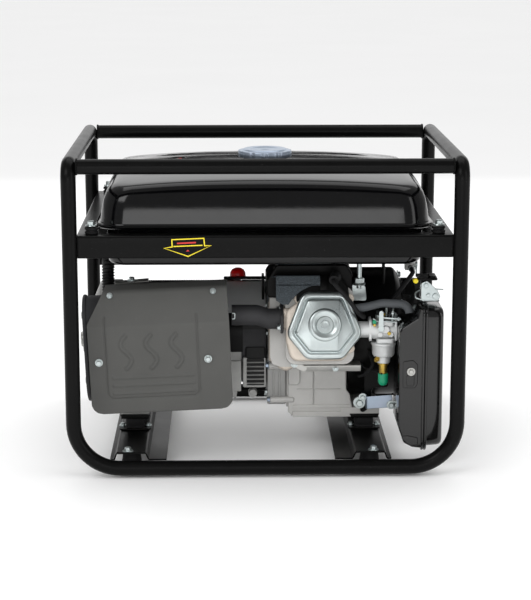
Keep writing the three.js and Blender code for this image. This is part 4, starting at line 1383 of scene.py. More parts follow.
class GENERATOR_OT_rocker(bpy.types.Operator):
    """Pressed valve cover with its rim, boss and bolt, and the hammered shroud above it"""
    bl_idname = "generator.rocker"
    bl_label = "Valve cover and shroud"

    def execute(self, context):
        self.cover()
        self.shroud(context.scene.generator_sizes)
        self.mounting()
        return {"FINISHED"}

    def cover(self):
        corners = [(66, 55), (144, 55), (172, -20), (136, -64), (72, -64), (37, -20)]
        outer = rounded(corners, 21, 10)
        even = []
        for i, here in enumerate(outer):
            even += [outer[i - 1].lerp(here, (k + 1) / 3) for k in range(3)]
        shape = Shape("zinc", CYLINDER_PLACE)
        near = -206
        stack = [(3, HEAD_NEAR - 0.4), (0.8, HEAD_NEAR - 0.6), (0, -193.6), (0.2, -196), (1.4, -198.6),
                 (3.6, -200), (8.6, -200.4), (10.6, -200), (11.6, -198.8), (12.6, -198.9), (13.4, -200.4),
                 (14, near + 2), (15.4, near + 0.5), (17.6, near)]
        shape.rings([[Vector((p.x, y, p.y)) for p in inset(even, shrink)] for shrink, y in stack])
        boss = (CYLINDER_MID.x, 0, CYLINDER_MID.y)
        shape.turned([(near + 0.5, 29.4), (near - 0.8, 29), (near - 2.6, 26.4), (near - 3.2, 23.5),
                      (near - 2.6, 21), (near - 1, 18.4), (near - 0.6, 14), (near - 1, 0.4)], boss, "Y", 72)
        piece("valve_cover_pressing", shape, "root", ["valve_cover"], sharp=45)
        shape = Shape("zinc", CYLINDER_PLACE)
        shape.turned([(near - 1.2, 0.4), (near - 1.2, 14.2), (near - 2, 15), (near - 3.2, 15), (near - 4, 14),
                      (near - 4, 0.4)], boss, "Y", 48)
        shape.hexagon((boss[0], near - 3.8, boss[2]), (boss[0], near - 8.8, boss[2]), 14.5)
        shape.turned([(near - 8.7, 5.6), (near - 9, 5.2), (near - 8.4, 1)], boss, "Y", 24)
        piece("valve_cover_bolt", shape, "root")

    def shroud(self, sizes):
        near = HEAD_NEAR - 0.4
        sheet = sizes.sheet / MM
        shape = Shape("hammered_paint", CYLINDER_PLACE)
        arc = [Vector((105 + 73 * math.cos(t), -4 + 73 * math.sin(t))) for t in
               [math.radians(a) for a in range(100, 151, 5)]]
        lip = rounded([(97, 83.5), (22, 83.5)], 0) + rounded([(20, 82), (20, 40)], 0) + [
            Vector((31, 33))] + arc[::-1] + [Vector((97, 68))]
        shape.slab(lip, near - sheet, near, "Y", 0.6)
        profile = [(near - sheet / 2, 66), (near - sheet / 2, 84.2), (-80, 84.2)]
        shape.slab(folded(profile, sheet, 5, 6), 20, 98, "X", 0.5, 1)
        shape.slab(rounded([(-150, 42), (-114, 42), (-114, 84), (-150, 84)], 4, 4), 5.6, 8, "X", 0.5)
        shape.slab(rounded([(6, -146), (24, -190), (24, -82), (6, -82)], 3, 3), 82.8, 85, "Z", 0.5)
        piece("shroud_sheet", shape, "root", ["head_shroud"])
        shape = Shape("frame_paint")
        shape.slab(rounded([(-66, 258), (-40, 258), (-40, 318), (-66, 315)], 3, 3), -3, 1.4, "X", 0.5)
        duct = rounded([(4, 290), (4, 322), (22, 350), (146, 350), (157, 332), (157, 290)], 8, 5)
        shape.slab(duct, -134, -28, "Y", 3, 3)
        shape.place = CYLINDER_PLACE
        wall = rounded([(56, 36), (150, 36), (148, 62), (136, 78), (118, 83), (56, 83)], 6, 4)
        shape.slab(wall, near + 5, near + 9, "Y", 1)
        shape.slab(rounded([(near - 2, 58), (near + 6, 58), (near + 6, 83), (near + 1, 83)], 1, 2), 97, 113,
                   "X", 0.6)
        piece("shroud_duct", shape, "root")

    def mounting(self):
        """Plated stud and lifting bracket between the cylinder and the tank."""
        shape = Shape("zinc")
        shape.slab(rounded([(146, 284), (183, 282), (181, 308), (172, 314), (158, 312), (149, 306)], 4, 4),
                   -126, -122.5, "Y", 0.7)
        shape.rod((169, -128, 306), (169, -128, 352), 4.4, 0.6, 24)
        shape.hexagon((169, -128, 316), (169, -128, 325), 16)
        shape.turned([(312.5, 5), (312.5, 11), (315, 11.6), (316, 10), (316, 5)], (169, -128, 0), "Z", 32)
        piece("lifting_stud", shape, "root")


# ---- fuel and air ----
class GENERATOR_OT_carburettor(bpy.types.Operator):
    """Carburettor with its bowl, jets, solenoid, levers, rods and springs"""
    bl_idname = "generator.carburettor"
    bl_label = "Carburettor"

    def execute(self, context):
        self.y = middle("float_bowl").y
        self.body()
        self.bowl()
        self.levers()
        self.bracket()
        return {"FINISHED"}

    def body(self):
        y, z = self.y, 240
        shape = Shape("bright_casting")
        shape.turned([(158.6, 12), (158.6, 14.6), (186, 14.6), (192, 17), (214, 17), (222, 15.4), (233, 15.4),
                      (233, 12)], (0, y, z), "X", 40, closed=True)
        for x0, x1, r in ((158.7, 163, 5), (184, 188.4, 4), (229, 233, 4)):
            shape.slab(rectangle(y - 13.8, y + 21.8, z - 20, z + 20, r + 3), x0, x1, "X", 0.8)
        shape.slab(rectangle(197, 228, y - 17.6, y + 17.6, 5), z - 22, z - 14, "Z", 1.2)
        shape.slab(rectangle(198, 227, y - 16, y + 16, 4), z + 8, z + 18, "Z", 1.4)
        for x in (203, 222):
            shape.turned([(-17.8, 0.4), (-17.8, 4.2), (-16.8, 5), (-8, 5.6), (-8, 0.4)], (x, y, z - 6), "Y",
                         24)
        shape.turned([(-20, 0.4), (-20, 6), (-18.6, 7.4), (-12, 8), (-12, 0.4)], (213, y, z + 3), "Y", 28)
        shape.use("zinc")
        for x, yy in ((200.5, -12), (224.5, -12), (200.5, 12), (224.5, 12)):
            shape.rod((x, y + yy, z + 17.4), (x, y + yy, z + 20.6), 2.6, 0.5, 16)
        shape.use("brass")
        shape.rod((192.5, y - 13, z + 12), (192.5, y - 21, z + 12), 2.6, 0.4, 20)
        shape.rod((218.5, y - 17, z - 3), (218.5, y - 21.4, z - 3), 3.6, 0.5, 6)
        shape.use("green_plastic")
        shape.rod((192.5, y - 12, z + 17), (192.5, y - 20, z + 17), 3.4, 0.6, 20)
        piece("carburettor_body", shape, "root", ["carburettor"], sharp=40)

    def bowl(self):
        x, y, _ = middle("float_bowl")
        low, high = span("float_bowl")
        top = high.z
        shape = Shape("bright_casting")
        shape.turned([(top, 0.4), (top, 21), (top - 0.8, 22), (top - 4, 22), (top - 4.8, 21.2),
                      (top - 6, 20.4),
                      (top - 20, 20.2), (top - 24, 18.4), (top - 26, 14), (top - 26.4, 12.8), (top - 37, 12),
                      (top - 38, 10.6), (top - 38, 0.4)], (x, y, 0), "Z", 64)
        for turn in (-100, -40, 200):
            t = math.radians(turn)
            shape.rod((x + 19 * math.cos(t), y + 19 * math.sin(t), top - 4),
                      (x + 16.5 * math.cos(t), y + 16.5 * math.sin(t), top - 25), 2.2, 0.6, 12)
        shape.use("brass")
        shape.rod((x - 14, y - 12, top - 31), (x - 9, y - 6, top - 27), 4.6, 0.6, 6)
        shape.rod((x - 15.4, y - 13.4, top - 32.2), (x - 12.8, y - 10.8, top - 30), 2.6, 0.3, 16)
        shape.turned([(top - 37.6, 0.4), (top - 37.6, 9.4), (top - 39, 10), (top - 41, 10), (top - 41.6, 7.4),
                      (top - 58.6, 7.4), (top - 59.4, 6.8), (top - 59.4, 0.4)], (x, y, 0), "Z", 40)
        shape.use("green_plastic")
        shape.turned([(top - 57.6, 0.4), (top - 57.6, 8.6), (top - 59, 9), (top - 72, 9), (top - 76, 7.8),
                      (top - 78.6, 5.8), (low.z, 3), (low.z, 0.4)], (x, y, 0), "Z", 40)
        piece("bowl_and_solenoid", shape, "root", ["float_bowl"], sharp=40)

    def levers(self):
        low, high = span("choke_lever")
        hub = Vector((204, 0, 246))
        shape = Shape("zinc")
        shape.rod((hub.x, high.y, hub.z), (hub.x, low.y, hub.z), 5.8, 0.5, 24)
        arm = rounded([(hub.x - 5, hub.z - 5), (hub.x + 5, hub.z - 5), (hub.x + 3.4, high.z),
                       (hub.x - 3.4, high.z)], 3.2, 5)
        shape.slab(arm, low.y + 0.2, low.y + 2.4, "Y", 0.4)
        shape.rod((hub.x, low.y, high.z - 5), (hub.x, low.y + 4, high.z - 5), 1.6, 0.3, 12)
        piece("choke_arm", shape, "choke", ["choke_lever"])
        low, high = span("throttle_arm")
        hub = Vector((203, self.y + 8))
        shape = Shape("zinc")
        shape.rod((hub.x, hub.y, low.z), (hub.x, hub.y, high.z), 6.6, 0.5, 24)
        arm = rounded([(hub.x - 4.6, hub.y - 5), (hub.x + 4.6, hub.y - 5), (hub.x + 3.2, high.y),
                       (hub.x - 3.2, high.y)], 3, 5)
        shape.slab(arm, high.z - 2.3, high.z, "Z", 0.4)
        piece("throttle_link", shape, "throttle", ["throttle_arm"])
        shape = Shape("zinc")
        shape.tube(rounded([(190, -184.4, 263), ((196, -184.4, 258.8), 2), (232, -184.4, 256.6)], 0, 4,
                           closed=False),
                   1.5, 12)
        coil = [(219 + 0.9 * k / 6, -163 + 3 * math.cos(k / 2), 262 + 3 * math.sin(k / 2) + 0.25 * k)
                for k in range(76)]
        shape.tube(coil, 0.6, 6)
        for x, y, top in ((209, -172, 272), (216, -158, 277), (226, -172, 275), (232, -160, 268),
                          (236, -176, 264)):
            shape.rod((x, y, 257), (x, y, top), 1.8, 0.4, 12)
            shape.rod((x, y, top - 7), (x, y, top - 3), 3.6, 0.6, 6)
        shape.slab(rounded([(206, 262), (240, 259), (240, 262), (206, 265)], 1, 2), -180, -176, "Y", 0.4)
        shape.use("brass")
        shape.rod((209, -172, 266), (209, -172, 270), 4, 0.5, 6)
        piece("carburettor_rods", shape, "root")

    def bracket(self):
        """Passivated bracket between the crankcase and the air-filter case."""
        shape = Shape("blue_zinc")
        shape.slab(rounded([(184, 84), (231, 87), (231, 110), (184, 107)], 3, 4), -131, -128.6, "Y", 0.5)
        shape.slab(rounded([(-131, 84), (-112, 84), (-112, 107), (-131, 107)], 2, 3), 184, 186.2, "X", 0.4)
        piece("filter_bracket", shape, "root")
        fasteners("bracket_bolts", [((172.5, -118, 93), (0, -1, 0), 12), ((178, -122, 104), (0, -1, 0), 8),
                                    ((229, -131.4, 92), (0, -1, 0), 9)])
        shape = Shape("frame_paint")
        shape.slab(rounded([(168, 60), (182, 96), (182, 150), (200, 168), (226, 140), (226, 118), (196, 118),
                            (196, 84)], 5, 4), -108, -104, "Y", 0.8)
        shape.use("rubber")
        shape.tube(rounded([(188, -125, 190), ((196, -140, 168), 12), ((180, -138, 150), 14),
                            (172, -110, 140)],
                           0, 6, closed=False), 3, 12)
        shape.tube(rounded([(208, -176, 160), ((200, -150, 158), 10), ((182, -120, 158), 12),
                            (170, -104, 170)],
                           0, 6, closed=False), 2, 10)
        piece("side_plate_and_leads", shape, "root")


class GENERATOR_OT_intake(bpy.types.Operator):
    """Air-filter case and cover, its clips, and the choke linkage above it"""
    bl_idname = "generator.intake"
    bl_label = "Air filter"

    def execute(self, context):
        self.case()
        self.cover()
        self.linkage()
        return {"FINISHED"}

    def case(self):
        low, high = span("air_filter_case")
        y0, y1 = low.y + 6, high.y - 6
        joint = high.x
        shape = Shape("gloss_black")
        outer = rounded([((233.6, 76), 6), ((243, 48), 8), ((258, 40), 6), (joint, 38), (joint, 290),
                         ((268, 288), 4), ((264, 272), 6), ((237, 254), 6), ((233.6, 248), 5)], 0.5, 5)
        shape.slab(outer, y0, y1, "Y", 3.4, 4)
        edge = rectangle(low.y, high.y, 32, 296, 20, 7)
        shape.slab(edge, joint - 4.4, joint, "X", 1.6, 3)
        recess = rounded([(240, 148), (262, 148), (266, 156), (266, 190), (258, 198), (240, 196)], 4, 4)
        shape.slab(recess, y0 - 1.6, y0 + 2, "Y", 1.3)
        shape.slab(rounded([(246, 152), (260, 152), (260, 172), (246, 172)], 4, 4), y0 - 3.2, y0, "Y", 1.2)
        shape.slab(rounded([(236, 60), (252, 44), (268, 44), (268, 58), (250, 62)], 3, 3), y0 - 1.2, y0 + 2,
                   "Y", 1)
        piece("filter_case_moulding", shape, "root", ["air_filter_case"], sharp=50)
        fasteners("case_screws", [((254, y0 - 3.2, 178), (0, -1, 0), 8)], "steel", height=0.5)

    def cover(self):
        low, high = span("air_filter_cover")
        y0, y1 = low.y + 6, high.y - 6
        shape = Shape("gloss_black")
        sides = (y0, y1, 39, 291)
        stack = [(low.x, 0), (low.x + 14, 0.6), (high.x - 9, 1.4), (high.x - 4.5, 2.6), (high.x - 1.6, 5.4),
                 (high.x - 0.4, 9), (high.x, 14), (high.x, 22), (high.x - 2, 25), (high.x - 2.4, 30)]
        shape.rings([[Vector((x, p.x, p.y)) for p in shrunk(sides, 18, shrink)] for x, shrink in stack])
        edge = rectangle(low.y, high.y, 32, 296, 20, 7)
        shape.slab(edge, low.x, low.x + 4.4, "X", 1.6, 3)
        for z in (110, 165, 220):
            shape.slab(rectangle((y0 + y1) / 2 - 24, (y0 + y1) / 2 + 24, z - 4, z + 4, 3.9, 4),
                       high.x - 4, high.x - 0.8, "X", 1.2)
        piece("filter_cover_moulding", shape, "root", ["air_filter_cover"], sharp=50)
        shape = Shape("steel")
        for z in (80, 250):
            clip = rounded([(-119, z - 7), (-117, z - 7), (-117, z + 7), (-119, z + 7)], 0.8, 2)
            shape.slab(clip, low.x - 9, low.x + 12, "X", 0.4)
        piece("filter_clips", shape, "root")

    def linkage(self):
        """Bright latch and black plate on top of the case."""
        shape = Shape("zinc")
        shape.slab(rounded([(272, 298), (300, 297), (306, 306), (300, 318), (282, 334), (272, 330)], 4, 4),
                   -204, -201.6, "Y", 0.5)
        shape.slab(rounded([(-204, 297), (-170, 297), (-170, 300), (-204, 300)], 1, 2), 276, 304, "X", 0.4)
        for x, z, r in ((280, 326, 4.2), (296, 307, 5), (284, 309, 3.2)):
            shape.turned([(-208, 0.4), (-208, r - 0.6), (-207.4, r), (-203, r), (-203, 0.4)], (x, 0, z), "Y",
                         24)
        shape.rod((296, -206, 320), (310, -206, 319), 1.3, 0.3, 10)
        shape.tube(rounded([(272, -205, 301), ((262, -204, 304), 4), ((262, -198, 312), 4), (270, -196, 316)],
                           0, 4, closed=False), 1.3, 10)
        piece("choke_latch", shape, "root")
        shape = Shape("frame_paint")
        shape.slab(rectangle(266, 300, -206, -160, 4), 335, 339, "Z", 0.8)
        shape.slab(rectangle(286, 298, -204, -172, 2), 339, 342, "Z", 0.8)
        shape.slab(rounded([(262, 288), (270, 292), (272, 336), (262, 336)], 2, 3), -190, -186, "Y", 0.6)
        shape.rod((218, -60, 300), (218, -60, 352), 3, 0.5, 16)
        shape.use("yellow_print")
        shape.turned([(-206, 0.4), (-206, 3.6), (-204, 4.6), (-198, 4.6), (-197, 3.4), (-197, 0.4)],
                     (262, 0, 334), "Y", 24)
        piece("choke_plate", shape, "root")


def bent(corners, bend, steps=8, every=4.0):
    """A rounded path cut into short, even steps."""
    line = rounded(corners, bend, steps, closed=False)
    made = []
    for one, two in zip(line, line[1:]):
        cuts = max(1, round((two - one).length / every))
        made += [one.lerp(two, k / cuts) for k in range(cuts)]
    return made + [line[-1]]


class GENERATOR_OT_hoses(bpy.types.Operator):
    """Fuel valve lever, fuel hose, breather hose, spark lead and corrugated conduit"""
    bl_idname = "generator.hoses"
    bl_label = "Hoses and leads"

    def execute(self, context):
        self.fuel()
        self.breather()
        self.ignition()
        self.conduit()
        return {"FINISHED"}

    def clamp(self, shape, place, way, radius):
        """A spring clamp with two ears."""
        at, way = Vector(place), Vector(way).normalized()
        side = way.orthogonal().normalized()
        up = way.cross(side)
        turns = [math.radians(20 + 320 * k / 24) for k in range(25)]
        ring = [at + (side * math.cos(t) + up * math.sin(t)) * (radius + 0.7) for t in turns]
        shape.tube([ring[0] + side * 3] + ring + [ring[-1] + side * 3], 0.8, 8)

    def fuel(self):
        valve = Vector((266, -60, 336))
        low, high = span("fuel_hose")
        shape = Shape("rubber")
        shape.tube(bent([(valve.x, high.y, 333), ((valve.x, -122, 333), 16), ((232, -150, 296), 14),
                         ((222, -160, 284), 8), (222, -160, low.z)], 12), 4, 20)
        shape.use("zinc")
        self.clamp(shape, (valve.x, high.y - 6, 333), (0, 1, 0), 4)
        piece("fuel_line", shape, "root", ["fuel_hose"])
        low, high = span("fuel_valve_lever")
        shape = Shape("zinc")
        shape.rod((low.x, valve.y, valve.z), (high.x, valve.y, valve.z), 7.8, 0.5, 28)
        arm = rounded([(valve.y - 4, low.z), (valve.y + 4, low.z), (valve.y + 5, valve.z),
                       (valve.y - 5, valve.z)], 3, 5)
        shape.slab(arm, high.x - 2.6, high.x, "X", 0.5)
        piece("fuel_lever_arm", shape, "fuel_lever", ["fuel_valve_lever"])

    def breather(self):
        shape = Shape("grey_hose")
        path = bent([(160.5, -173, 279), ((178, -176, 282), 20), ((206, -180, 290), 30),
                     ((252, -182, 288), 17), (254, -186, 273)], 20)
        shape.tube(path, 7.4, 28)
        piece("breather_line", shape, "root", ["breather_hose"], sharp=50)

    def ignition(self):
        shape = Shape("rubber")
        boot = bent([(128, -148, 328), ((124, -168, 337), 9), (121, -186, 332)], 9, 8, 2)
        radii = [9 if k % 3 else 8.2 for k in range(len(boot))]
        shape.tube(boot, radii, 24)
        shape.tube(bent([(124, -170, 336), ((119, -194, 330), 8), ((146, -198, 300), 14),
                         ((163, -197, 276), 12), ((174, -178, 264), 12), (176, -112, 262)], 14), 3.9, 18)
        piece("spark_lead", shape, "root", ["spark_plug_and_lead"], sharp=50)

    def conduit(self):
        made = edge_path("corrugated_conduit", bent(
            [(-281, -60, 285), ((-281, -60, 346), 24), (-281, 208, 346)], 24))
        grower(corrugated_grower).grow(
            made, radius=10.8 * MM, depth=1.1 * MM, pitch=5.2 * MM, finish=finish_of("black_plastic"))
        settle(made, "root", ["cable_conduit"])


# ---- alternator ----
class GENERATOR_OT_alternator(bpy.types.Operator):
    """Stator, louvred adapter, vented end cover, terminal boot and rotor"""
    bl_idname = "generator.alternator"
    bl_label = "Alternator"

    def execute(self, context):
        self.sides = context.scene.generator_sizes.turned_sides
        self.low, self.high = span("alternator_stator")
        self.stator()
        self.adapter()
        self.end_cover()
        self.terminals()
        self.rotor()
        return {"FINISHED"}

    def rotor(self):
        """Shaft, laminated poles, windings and slip rings."""
        low, high = span("alternator_rotor")
        shape = Shape("steel")
        shape.rod((low.x, 0, CRANK_Z), (high.x, 0, CRANK_Z), 11.9, 0.8, 32)
        turns = [2 * math.pi * k / 64 for k in range(64)]
        pole = [Vector((76 * math.cos(t), CRANK_Z + max(-55, min(55, 76 * math.sin(t))))) for t in turns]
        pole = [p for i, p in enumerate(pole) if (p - pole[i - 1]).length > 0.1]
        shape.slab(pole, -262, -62, "X", 0.8)
        shape.use("copper")
        shape.slab(rectangle(-44, 44, CRANK_Z - 44, CRANK_Z + 44, 20, 6), -268, -56, "X", 5, 4)
        shape.use("brass")
        for start in (-282, -276):
            shape.turned([(start, 12), (start, 21.4), (start + 0.6, 22), (start + 3.4, 22), (start + 4, 21.4),
                          (start + 4, 12)], (0, 0, CRANK_Z), "X", 48, closed=True)
        piece("rotor_body", shape, "crank", ["alternator_rotor"], sharp=40)

    def stator(self):
        low, high = self.low.x, self.high.x
        radius = self.high.z - CRANK_Z
        shape = Shape("die_casting")
        shape.turned([(low, 81), (low, radius - 1.5), (low + 1.5, radius), (low + 26, radius),
                      (low + 27.5, radius - 1.5), (low + 28, radius - 4)], (0, 0, CRANK_Z), "X", self.sides)
        shape.turned([(high - 28, radius - 4), (high - 27.5, radius - 1.5), (high - 26, radius),
                      (high - 1.5, radius),
                      (high, radius - 1.5), (high, 81)], (0, 0, CRANK_Z), "X", self.sides)
        shape.block(-260, -208, -104, 104, 68.4, 80, 2)
        shape.slab(rounded([(-60, 76), (60, 76), (46, 112), (-46, 112)], 4, 4), -254, -214, "X", 2)
        shape.use("steel")
        shape.turned([(low + 28, radius - 4), (low + 28, radius - 2.4), (high - 28, radius - 2.4),
                      (high - 28, radius - 4)], (0, 0, CRANK_Z), "X", self.sides)
        # Painted shade: a thin black arc over the lower front of the bell, where the alternator sits in shade
        # below its lit top.
        shape.use("frame_paint")
        painted_light_band = [math.radians(100 + 6 * k) for k in range(16)]
        inner = [Vector((97.6 * math.cos(t), CRANK_Z + 97.6 * math.sin(t))) for t in painted_light_band]
        outer = [Vector((98.6 * math.cos(t), CRANK_Z + 98.6 * math.sin(t))) for t in reversed(painted_light_band)]
        shape.slab(inner[8:] + outer[:8], -98, -38, "X", 0.1, 1)
        # Painted highlight: a bright casting arc over the top front quadrant, standing for the top lit by the
        # light above.
        shape.use("bright_casting")
        shape.slab(inner[:9] + outer[7:], -98, 4, "X", 0.1, 1)
        piece("stator_body", shape, "root", ["alternator_stator"], sharp=40)
        ring = Shape("steel")
        ring.turned([(low + 30, radius - 3), (low + 30, radius - 1.7), (low + 31.4, radius - 1.4),
                     (low + 32.8, radius - 1.7), (low + 32.8, radius - 3)], (0, 0, CRANK_Z), "X", 48,
                     closed=True)
        settle(row(bare("laminations", ring), 43, (4.4, 0, 0), "steel"), "root")
        fasteners("stator_bolts", [((-234, side * 98, 80), (0, 0, 1), 12) for side in (-1, 1)])

    def adapter(self):
        low, high = span("alternator_adapter")
        # Painted shade: the bell is turned in dark cast iron, standing for a casting in shade under the tank;
        # its lit top is the stator's bright arc.
        shape = Shape("cast_iron")
        shape.turned([(low.x, 86), (low.x, 94), (low.x + 1, 95), (high.x - 1, 95), (high.x, 94), (high.x, 60),
                      (-4, 60), (-10, 86)], (0, 0, CRANK_Z), "X", self.sides, closed=True)
        shape.use("die_casting")
        shape.slab(rounded([(-38, 116), (4, 116), (4, 172), (-38, 172)], 3, 4), -95, -84, "Y", 1.4)
        shape.slab(rounded([(-62, 108), (-41, 108), (-41, 165), (-62, 165)], 2, 3), -92, -60, "Y", 1)
        shape.slab(rounded([(-60, 98), (-50, 94), (-48, 108), (-60, 108)], 2, 3), -91, -85, "Y", 0.8)
        shape.turned([(-96.4, 0.4), (-96.4, 7), (-94, 8), (-80, 8), (-80, 0.4)], (-20, 0, 105), "Y", 24)
        piece("adapter_casting", shape, "root", ["alternator_adapter"], sharp=40)
        slat = Shape("die_casting")
        slat.slab(rounded([(-97.4, 122), (-92, 126), (-91, 126.6), (-92, 129), (-96.6, 124)], 0.5, 2), -31,
                  1, "X", 0.4)
        settle(row(bare("louvres", slat), 6, (0, 0, 7.8), "die_casting"), "root")
        dark = Shape("black_plastic")
        dark.slab(rectangle(-31, 1, 120, 170, 2, 2), -95.4, -94.8, "Y", 0.2)
        dark.slab(rounded([(-33, 170), (3, 170), (3, 192), (-33, 192)], 4, 4), -97, -72, "Y", 2)
        dark.slab(rounded([(-58, 196), (4, 196), (4, 246), (-58, 246)], 3, 3), -92, -86, "Y", 1)
        piece("adapter_shadow_box", dark, "root")

    def end_cover(self):
        low, high = span("alternator_end_cover")
        shape = Shape("die_casting")
        shape.turned([(high.x, 88), (high.x, 96), (high.x - 1.2, 97), (-297, 95.6), (-299.4, 93),
                      (low.x + 1, 73),
                      (low.x, 70), (low.x, 15), (low.x + 1, 13.5), (-304, 13.5), (-304, 68), (-294, 86)],
                     (0, 0, CRANK_Z), "X", self.sides, closed=True)
        piece("end_bell", shape, "root", ["alternator_end_cover"], sharp=40)
        # Painted shade: the vent openings are thin black patches on the closed face of the cover, standing
        # for its shaded inside.
        slot = Shape("black_plastic")
        slot.slab(rectangle(-4, 4, CRANK_Z + 26, CRANK_Z + 62, 3.9, 5), low.x - 0.1, low.x + 2, "X", 0.1)
        turn = (math.radians(30), 0, 0)
        settle(wheel(bare("end_vents", slot), 12, (0, 0, CRANK_Z), turn, "black_plastic"), "root")
        fasteners("end_bell_bolts", [((-298, 84 * math.cos(t), CRANK_Z + 84 * math.sin(t)), (-1, 0, 0), 9)
                                     for t in (math.radians(45 + 90 * k) for k in range(4))])

    def terminals(self):
        shape = Shape("red_plastic")
        shape.turned([(300, 0.4), (300, 14.2), (302, 15), (311, 14), (316, 11), (319, 6), (319, 0.4)],
                     (-46, 0, 0), "Z", 36)
        piece("terminal_boot", shape, "root")
        shape = Shape("frame_paint")
        shape.slab(rectangle(-72, 6, -46, -30, 3, 3), 306, 309.6, "Z", 1)
        piece("terminal_plate", shape, "root")


# ---- starter ----
class GENERATOR_OT_starter(bpy.types.Operator):
    """Fan housing, recoil starter with its rope, grip and oil dipstick"""
    bl_idname = "generator.starter"
    bl_label = "Starter"

    def execute(self, context):
        self.centre = (0, 0, CRANK_Z)
        self.sides = context.scene.generator_sizes.turned_sides
        self.housing()
        self.recoil()
        self.rope()
        self.grip()
        self.dipstick()
        return {"FINISHED"}

    def housing(self):
        low, high = span("fan_housing")
        outer = high.z - CRANK_Z
        shape = Shape("frame_paint")
        shape.turned([(low.x, outer - 3.6), (low.x, outer - 0.6), (low.x + 1, outer), (238, outer),
                      (242, outer - 2),
                      (high.x - 1, outer - 11), (high.x, outer - 13), (high.x, 64.4), (high.x - 3, 64.4),
                      (high.x - 3, outer - 14), (238, outer - 4)], self.centre, "X", self.sides, closed=True)
        piece("fan_shroud", shape, "root", ["fan_housing"], sharp=40)
        fasteners("fan_bolts", [((250, 104 * math.cos(t), CRANK_Z + 104 * math.sin(t)), (1, 0, 0), 9)
                                for t in (math.radians(20 + 60 * k) for k in range(6))])

    def recoil(self):
        low, high = span("recoil_housing")
        grip_low, _ = span("starter_grip")
        rope_z = middle("starter_grip").z
        rope_x = middle("starter_grip").x
        shape = Shape("gloss_black")
        shape.turned([(low.x, 94.8), (low.x, 97.4), (low.x + 0.6, 98), (281, 98), (286, 96), (high.x - 1, 89),
                      (high.x, 86), (high.x, 78.6), (high.x - 0.6, 78), (high.x - 3, 78), (high.x - 3, 86),
                      (282, 94.5)], self.centre, "X", self.sides, closed=True)
        shape.turned([(high.x, 36.4), (high.x, 20.6), (high.x - 0.6, 20), (high.x - 3, 20), (high.x - 3, 37),
                      (high.x - 0.6, 37)], self.centre, "X", 60, closed=True)
        shape.slab(rounded([(262.4, rope_z - 9), (281.6, rope_z - 9), (281.6, rope_z + 9),
                            (262.4, rope_z + 9)], 3, 4),
                   76, grip_low.y - 0.4, "Y", 2)
        shape.use("die_casting")
        shape.turned([(high.x - 4, 26), (high.x - 0.6, 26), (high.x, 24), (high.x, 20.5), (high.x - 4, 20.5)],
                     self.centre, "X", 48, closed=True)
        shape.use("steel")
        shape.turned([(grip_low.y - 0.6, 3.6), (grip_low.y - 0.6, 6), (grip_low.y - 2, 7.4),
                      (grip_low.y - 4, 7.4),
                      (grip_low.y - 4, 3.6)], (rope_x, 0, rope_z), "Y", 32, closed=True)
        piece("recoil_cover", shape, "root", ["recoil_housing"], sharp=40)
        spoke = Shape("gloss_black")
        spoke.slab([Vector(p) for p in ((-4, CRANK_Z + 35), (4, CRANK_Z + 35), (8, CRANK_Z + 79),
                                        (-8, CRANK_Z + 79))],
                   high.x - 2.8, high.x - 0.2, "X", 0.5)
        settle(wheel(bare("recoil_spokes", spoke), 14, self.centre, (math.radians(360 / 14), 0, 0),
                     "gloss_black"),
               "root")
        fasteners("recoil_bolts", [((286, 93 * math.cos(t), CRANK_Z + 93 * math.sin(t)), (1, 0, 0), 8)
                                   for t in (math.radians(15 + 90 * k) for k in range(4))])

    def rope(self):
        """Coils on the pulley and the run out to the grip."""
        x = middle("recoil_pulley").x
        rope_z = middle("starter_grip").z
        radius = rope_z - CRANK_Z
        coil = []
        for k in range(49):
            t = math.radians(90 - 7.5 * k)
            coil.append((x, (radius - 1.2) * math.cos(t), CRANK_Z + (radius - 1.2) * math.sin(t)))
        shape = Shape("white_print")
        shape.tube(coil, 1.8, 12)
        piece("rope_coil", shape, "pulley")
        end = span("starter_grip")[0].y + 2
        run = [(x, 4 + (end - 4) * k / 40, rope_z - 1.2) for k in range(41)]
        shape = Shape("white_print")
        shape.tube(run, 1.7, 12)
        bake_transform(bare("rope_run", shape))

    def grip(self):
        low, high = span("starter_grip")
        x, _, z = middle("starter_grip")
        shape = Shape("rubber")
        shape.turned([(low.y, 2.2), (low.y, 5.6), (low.y + 2, 6.9), (low.y + 12, 6.9), (low.y + 17, 6)],
                     (x, 0, z), "Y", 36)
        y = high.y - 11.5
        half = 36
        profile = [(-half, 0.4), (-half, 7.4), (-half + 1.6, 10), (-half + 4, 11.2)]
        for k in range(9):
            at = -26 + 6.5 * k
            profile += [(at - 2.4, 11.4), (at - 1.2, 10.4), (at + 1.2, 10.4), (at + 2.4, 11.4)]
        profile += [(half - 4, 11.2), (half - 1.6, 10), (half, 7.4), (half, 0.4)]
        shape.turned([(x + along, r) for along, r in profile], (0, y, z), "X", 36)
        piece("grip_handle", shape, "grip", ["starter_grip"], sharp=50)

